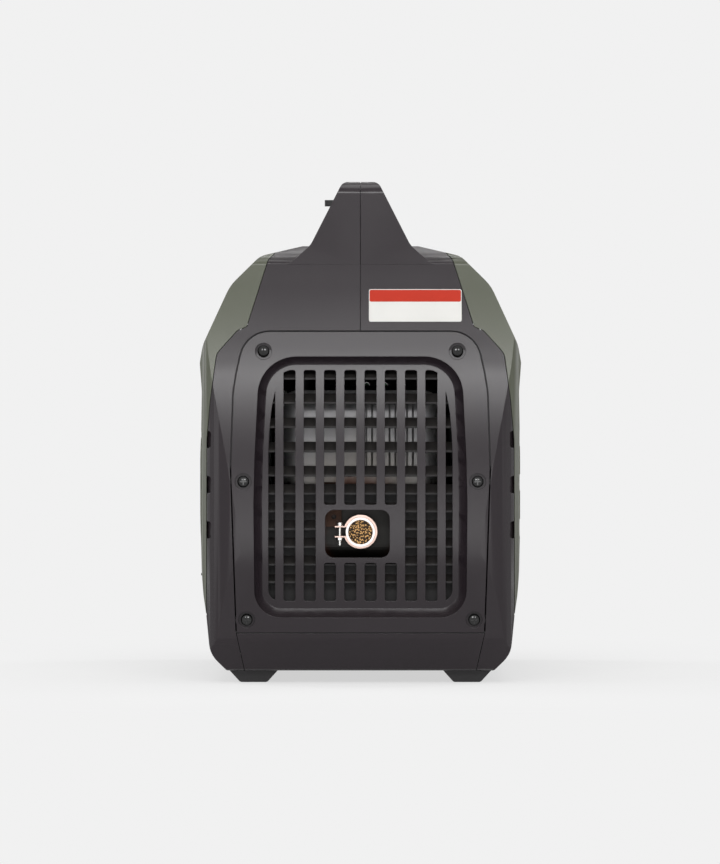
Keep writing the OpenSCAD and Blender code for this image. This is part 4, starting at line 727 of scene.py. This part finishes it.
# starts clear of the moulding and is cut into cells, so that it can follow the curve it is laid on
def buildPlate(name, left, right, bottom, top, lift):
    letGo()
    middle = ((left + right) / 2, cadBox[0][1] - labelLook["clear"], (bottom + top) / 2)
    bpy.ops.mesh.primitive_plane_add(size=1, location=middle, rotation=(math.pi / 2, 0, 0))
    plate = bpy.context.object
    nameIt(plate, name)
    plate.scale = (right - left, top - bottom, 1)
    bakePlace(plate)
    bpy.ops.object.mode_set(mode="EDIT")
    bpy.ops.mesh.select_all(action="SELECT")
    bpy.ops.mesh.bevel(offset=labelLook["corner"], segments=labelLook["cornerCuts"], affect="VERTICES")
    bpy.ops.mesh.select_all(action="SELECT")
    bpy.ops.mesh.inset(thickness=labelLook["inset"])
    bpy.ops.object.mode_set(mode="OBJECT")
    columns, rows = labelLook["columns"], labelLook["rows"]
    for i in range(1, columns):
        sliceAt(plate, (left + (right - left) * i / columns, 0, 0), (1, 0, 0))
    for i in range(1, rows):
        sliceAt(plate, (0, 0, bottom + (top - bottom) * i / rows), (0, 0, 1))
    stick = plate.modifiers.new("stick", "SHRINKWRAP")
    stick.target = skins["right_body_shell"]
    stick.wrap_method = "PROJECT"
    stick.use_project_y = True
    stick.use_project_z = False
    stick.use_positive_direction = True
    stick.use_negative_direction = False
    stick.offset = lift
    thicken(plate, labelLook["thickness"], 0)
    smoothByAngle(plate, labelLook["angle"])
    return plate


plateWhite = makeFinish("plate_white", dict(
    colour=(0.66, 0.655, 0.63), rough=0.5, grain=900.0, cloud=40.0, bump=0.08, drift=0.05, round=0,
    specular=0.15, wearAndHighlight=0.15, wearAndHighlightColour=(0.5, 0.47, 0.42)))
plateRed = makeFinish("plate_red", dict(
    colour=(0.44, 0.03, 0.014), rough=0.5, grain=900.0, cloud=40.0, bump=0.08, drift=0.08, round=0,
    specular=0.12))
lift, margin = labelLook["thickness"] / 2, labelLook["margin"]
labelPlate = buildPlate("label_plate", labelLook["left"], labelLook["right"], labelLook["bottom"],
                        labelLook["top"], lift)
seat(labelPlate, plateWhite, bodyOfNode["right_body_shell"])
labelStrip = buildPlate("label_strip", labelLook["left"] + margin, labelLook["right"] - margin,
                        labelLook["strip"], labelLook["top"] - margin, lift + labelLook["proud"])
seat(labelStrip, plateRed, bodyOfNode["right_body_shell"])
print("plate is on the shoulder")

# the starter rope: twisted fibre, one end knotted in the grip
ropeLook = {"from": 0.010, "to": 0.003, "fade": 0.06, "lay": 900.0, "slant": 1.6, "grooveTo": 0.45,
            "grooveShade": (0.2, 0.19, 0.17), "angle": 50}


def layRope(tree):
    place = objectAxes(tree)
    lay = ropeLook["lay"]
    along = maths(tree, "ADD", times(tree, place["X"], lay), times(tree, place["Z"], lay))
    twist = maths(tree, "ADD", along, times(tree, place["Y"], lay * ropeLook["slant"]))
    return maths(tree, "ABSOLUTE", maths(tree, "SINE", twist))


# painted shade: the grooves between the twisted strands are darker in colour
def shadeRopeGrooves(tree, base):
    return mixColour(tree, ramp(tree, layRope(tree), 0.0, ropeLook["grooveTo"]), ropeLook["grooveShade"], base)


ropeFinish = makeFinish("starter_rope_fibre", dict(
    colour=(0.6, 0.58, 0.54), rough=0.85, grain=1100.0, cloud=80.0, bump=0.5, drift=0.16, round=0,
    reliefDepth=0.0004), shadeRopeGrooves, layRope)
rope = softCopy("starter_rope", ropeLook["angle"])
rope.data.materials.clear()
rope.data.materials.append(ropeFinish)
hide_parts("starter_rope")
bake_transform(rope)
print("rope is in the grip")

# plain marks on the control panel: ON and OFF at the dial and at the small switch, and ticks round the dial
markLook = {"recess": 0.0029, "deep": 0.0004, "word": 0.0052, "figure": 0.0044, "textSize": 1.4,
            "textCuts": 4, "ring": 0.0275, "tick": 0.0032, "tickWidth": 0.0007, "ticks": 8,
            "firstTurn": -20, "stepTurn": 20, "offAcross": 0.0045, "offUp": 0.004, "onUp": 0.0035,
            "ecoAcross": 0.019, "ecoInside": 0.005}
markFinish = makeFinish("mark_print", dict(
    colour=(0.72, 0.72, 0.7), rough=0.45, grain=900.0, cloud=60.0, bump=0.1, drift=0.08, round=0))
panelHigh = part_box("control_panel")[1]
dialLow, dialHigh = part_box("engine_dial")
ecoLow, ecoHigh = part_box("eco_switch")
panelFace = panelHigh.y - markLook["recess"]
marks = []


def raiseMark(piece):
    for vertex in piece.data.vertices:
        vertex.co.y = panelFace
    thicken(piece, markLook["deep"], 0)
    marks.append(piece)


def writeMark(words, x, z, high):
    letGo()
    bpy.ops.object.text_add(location=(x, panelFace, z), rotation=(math.pi / 2, 0, math.pi))
    piece = bpy.context.object
    piece.data.body = words
    piece.data.size = high * markLook["textSize"]
    piece.data.align_x = "CENTER"
    piece.data.align_y = "CENTER"
    piece.data.resolution_u = markLook["textCuts"]
    takeUp(piece)
    bpy.ops.object.convert(target="MESH")
    bakePlace(bpy.context.object)
    raiseMark(bpy.context.object)


def drawTick(x, z, turn):
    letGo()
    bpy.ops.mesh.primitive_plane_add(size=1, location=(0, 0, 0))
    piece = bpy.context.object
    piece.scale = (markLook["tickWidth"], markLook["tick"], 1)
    bakePlace(piece)
    piece.rotation_euler = (math.pi / 2, turn, 0)
    piece.location = (x, panelFace, z)
    bakePlace(piece)
    raiseMark(piece)


def markPanel():
    dialX, dialZ = (dialLow.x + dialHigh.x) / 2, (dialLow.z + dialHigh.z) / 2
    ring = markLook["ring"]
    writeMark("OFF", dialX - ring + markLook["offAcross"], dialZ - ring + markLook["offUp"], markLook["word"])
    writeMark("ON", dialX, dialZ + ring + markLook["onUp"], markLook["word"])
    for i in range(markLook["ticks"]):
        turn = math.radians(markLook["firstTurn"] + markLook["stepTurn"] * i)
        drawTick(dialX - ring * math.cos(turn), dialZ + ring * math.sin(turn), turn)
    ecoX = (ecoLow.x + ecoHigh.x) / 2 - markLook["ecoAcross"]
    writeMark("ON", ecoX, ecoHigh.z - markLook["ecoInside"], markLook["figure"])
    writeMark("OFF", ecoX, ecoLow.z + markLook["ecoInside"], markLook["figure"])


markPanel()
panelMarks = joinPieces(marks, "panel_marks")
seat(panelMarks, markFinish, bodyOfNode["control_panel"])
print("panel is marked")

# floor, light and camera
stageLook = {"paper": (0.879, 0.879, 0.879), "matt": (0.87, 0.87, 0.87), "shadowShare": 0.3, "nearTo": 0.25,
             "farFrom": 0.75, "worldLight": 0.12, "size": 14.0}


# what the camera, mirrors and glass see is plain paper, at a strength of 1
def seenRays(tree):
    ray = add(tree, "ShaderNodeLightPath")
    seen = maths(tree, "MAXIMUM", ray.outputs["Is Camera Ray"], ray.outputs["Is Glossy Ray"])
    return maths(tree, "MAXIMUM", seen, ray.outputs["Is Transmission Ray"])


def buildFloor():
    bpy.ops.mesh.primitive_plane_add(size=stageLook["size"], location=(0, 0, 0))
    floor = bpy.context.object
    floor.name = "studio_floor"
    paper = bpy.data.materials.new("floorPaper")
    paper.use_nodes = True
    tree = paper.node_tree
    tree.nodes.clear()
    out = add(tree, "ShaderNodeOutputMaterial")
    glow = add(tree, "ShaderNodeEmission")
    put(tree, stageLook["paper"], glow.inputs["Color"])
    matt = add(tree, "ShaderNodeBsdfDiffuse")
    put(tree, stageLook["matt"], matt.inputs["Color"])
    reach = add(tree, "ShaderNodeVectorMath", operation="LENGTH")
    wire(tree, objectPlace(tree), reach.inputs[0])
    near, far = stageLook["nearTo"], stageLook["farFrom"]
    shadow = ramp(tree, reach.outputs["Value"], near, far, stageLook["shadowShare"], 0.0)
    share = times(tree, seenRays(tree), maths(tree, "SUBTRACT", 1.0, shadow))
    mix = add(tree, "ShaderNodeMixShader")
    wire(tree, share, mix.inputs["Fac"])
    wire(tree, matt.outputs[0], mix.inputs[1])
    wire(tree, glow.outputs[0], mix.inputs[2])
    wire(tree, mix.outputs[0], out.inputs["Surface"])
    floor.data.materials.append(paper)


def buildWorld():
    world = bpy.data.worlds.new("studio")
    bpy.context.scene.world = world
    world.use_nodes = True
    tree = world.node_tree
    tree.nodes.clear()
    out = add(tree, "ShaderNodeOutputWorld")
    back = add(tree, "ShaderNodeBackground")
    put(tree, stageLook["paper"], back.inputs["Color"])
    level = ramp(tree, seenRays(tree), 0.0, 1.0, stageLook["worldLight"], 1.0, "LINEAR")
    wire(tree, level, back.inputs["Strength"])
    wire(tree, back.outputs[0], out.inputs["Surface"])


def lookFrom(piece, place, aim):
    bpy.context.scene.collection.objects.link(piece)
    piece.location = place
    piece.rotation_euler = (Vector(aim) - Vector(place)).to_track_quat("-Z", "Y").to_euler()


def softLight(name, place, aim, width, height, power):
    data = bpy.data.lights.new(name, "AREA")
    data.shape = "RECTANGLE"
    data.size, data.size_y = width, height
    data.energy = power
    lookFrom(bpy.data.objects.new(name, data), place, aim)


letGo()
buildFloor()
buildWorld()
# where each light is, what it is aimed at, its width and height, and its power
lights = {
    "shoulder": ((0, -2.0, 1.12), (0, -0.2, 0.3), 1.8, 0.4, 25.0),
    "shoulderLow": ((0, -2.1, 0.82), (0, -0.2, 0.3), 1.8, 0.2, 3.0),
    "overhead": ((0, -0.3, 1.6), (0, -0.1, 0.1), 1.3, 0.8, 8.0),
    "lowFront": ((0, -1.4, 0.12), (0, -0.2, 0.15), 1.2, 0.2, 2.2),
    "leftSide": ((-1.7, -0.7, 0.6), (0, -0.1, 0.2), 0.6, 1.2, 3.0),
    "rightSide": ((1.7, -0.7, 0.6), (0, -0.1, 0.2), 0.6, 1.2, 1.0),
    "leftBack": ((-1.5, 0.7, 1.1), (0, 0, 0.25), 0.8, 1.0, 13.0),
    "rightBack": ((1.5, 0.7, 1.1), (0, 0, 0.25), 0.8, 1.0, 12.0),
    "back": ((0, 2.1, 0.9), (0, 0.2, 0.25), 1.8, 0.7, 14.0),
}
for name, (place, aim, width, height, power) in lights.items():
    softLight(name, place, aim, width, height, power)

shot = {"place": (0.0, -8.245, 0.40), "aim": (-0.0004, -0.245, 0.226), "lens": 372.4, "nearest": 0.1,
        "farthest": 60.0}
cameraData = bpy.data.cameras.new("camera")
camera = bpy.data.objects.new("camera", cameraData)
lookFrom(camera, shot["place"], shot["aim"])
cameraData.lens = shot["lens"]
cameraData.clip_start, cameraData.clip_end = shot["nearest"], shot["farthest"]
bpy.context.scene.camera = camera
bpy.context.scene.view_settings.view_transform = "Standard"
print("stage is set")
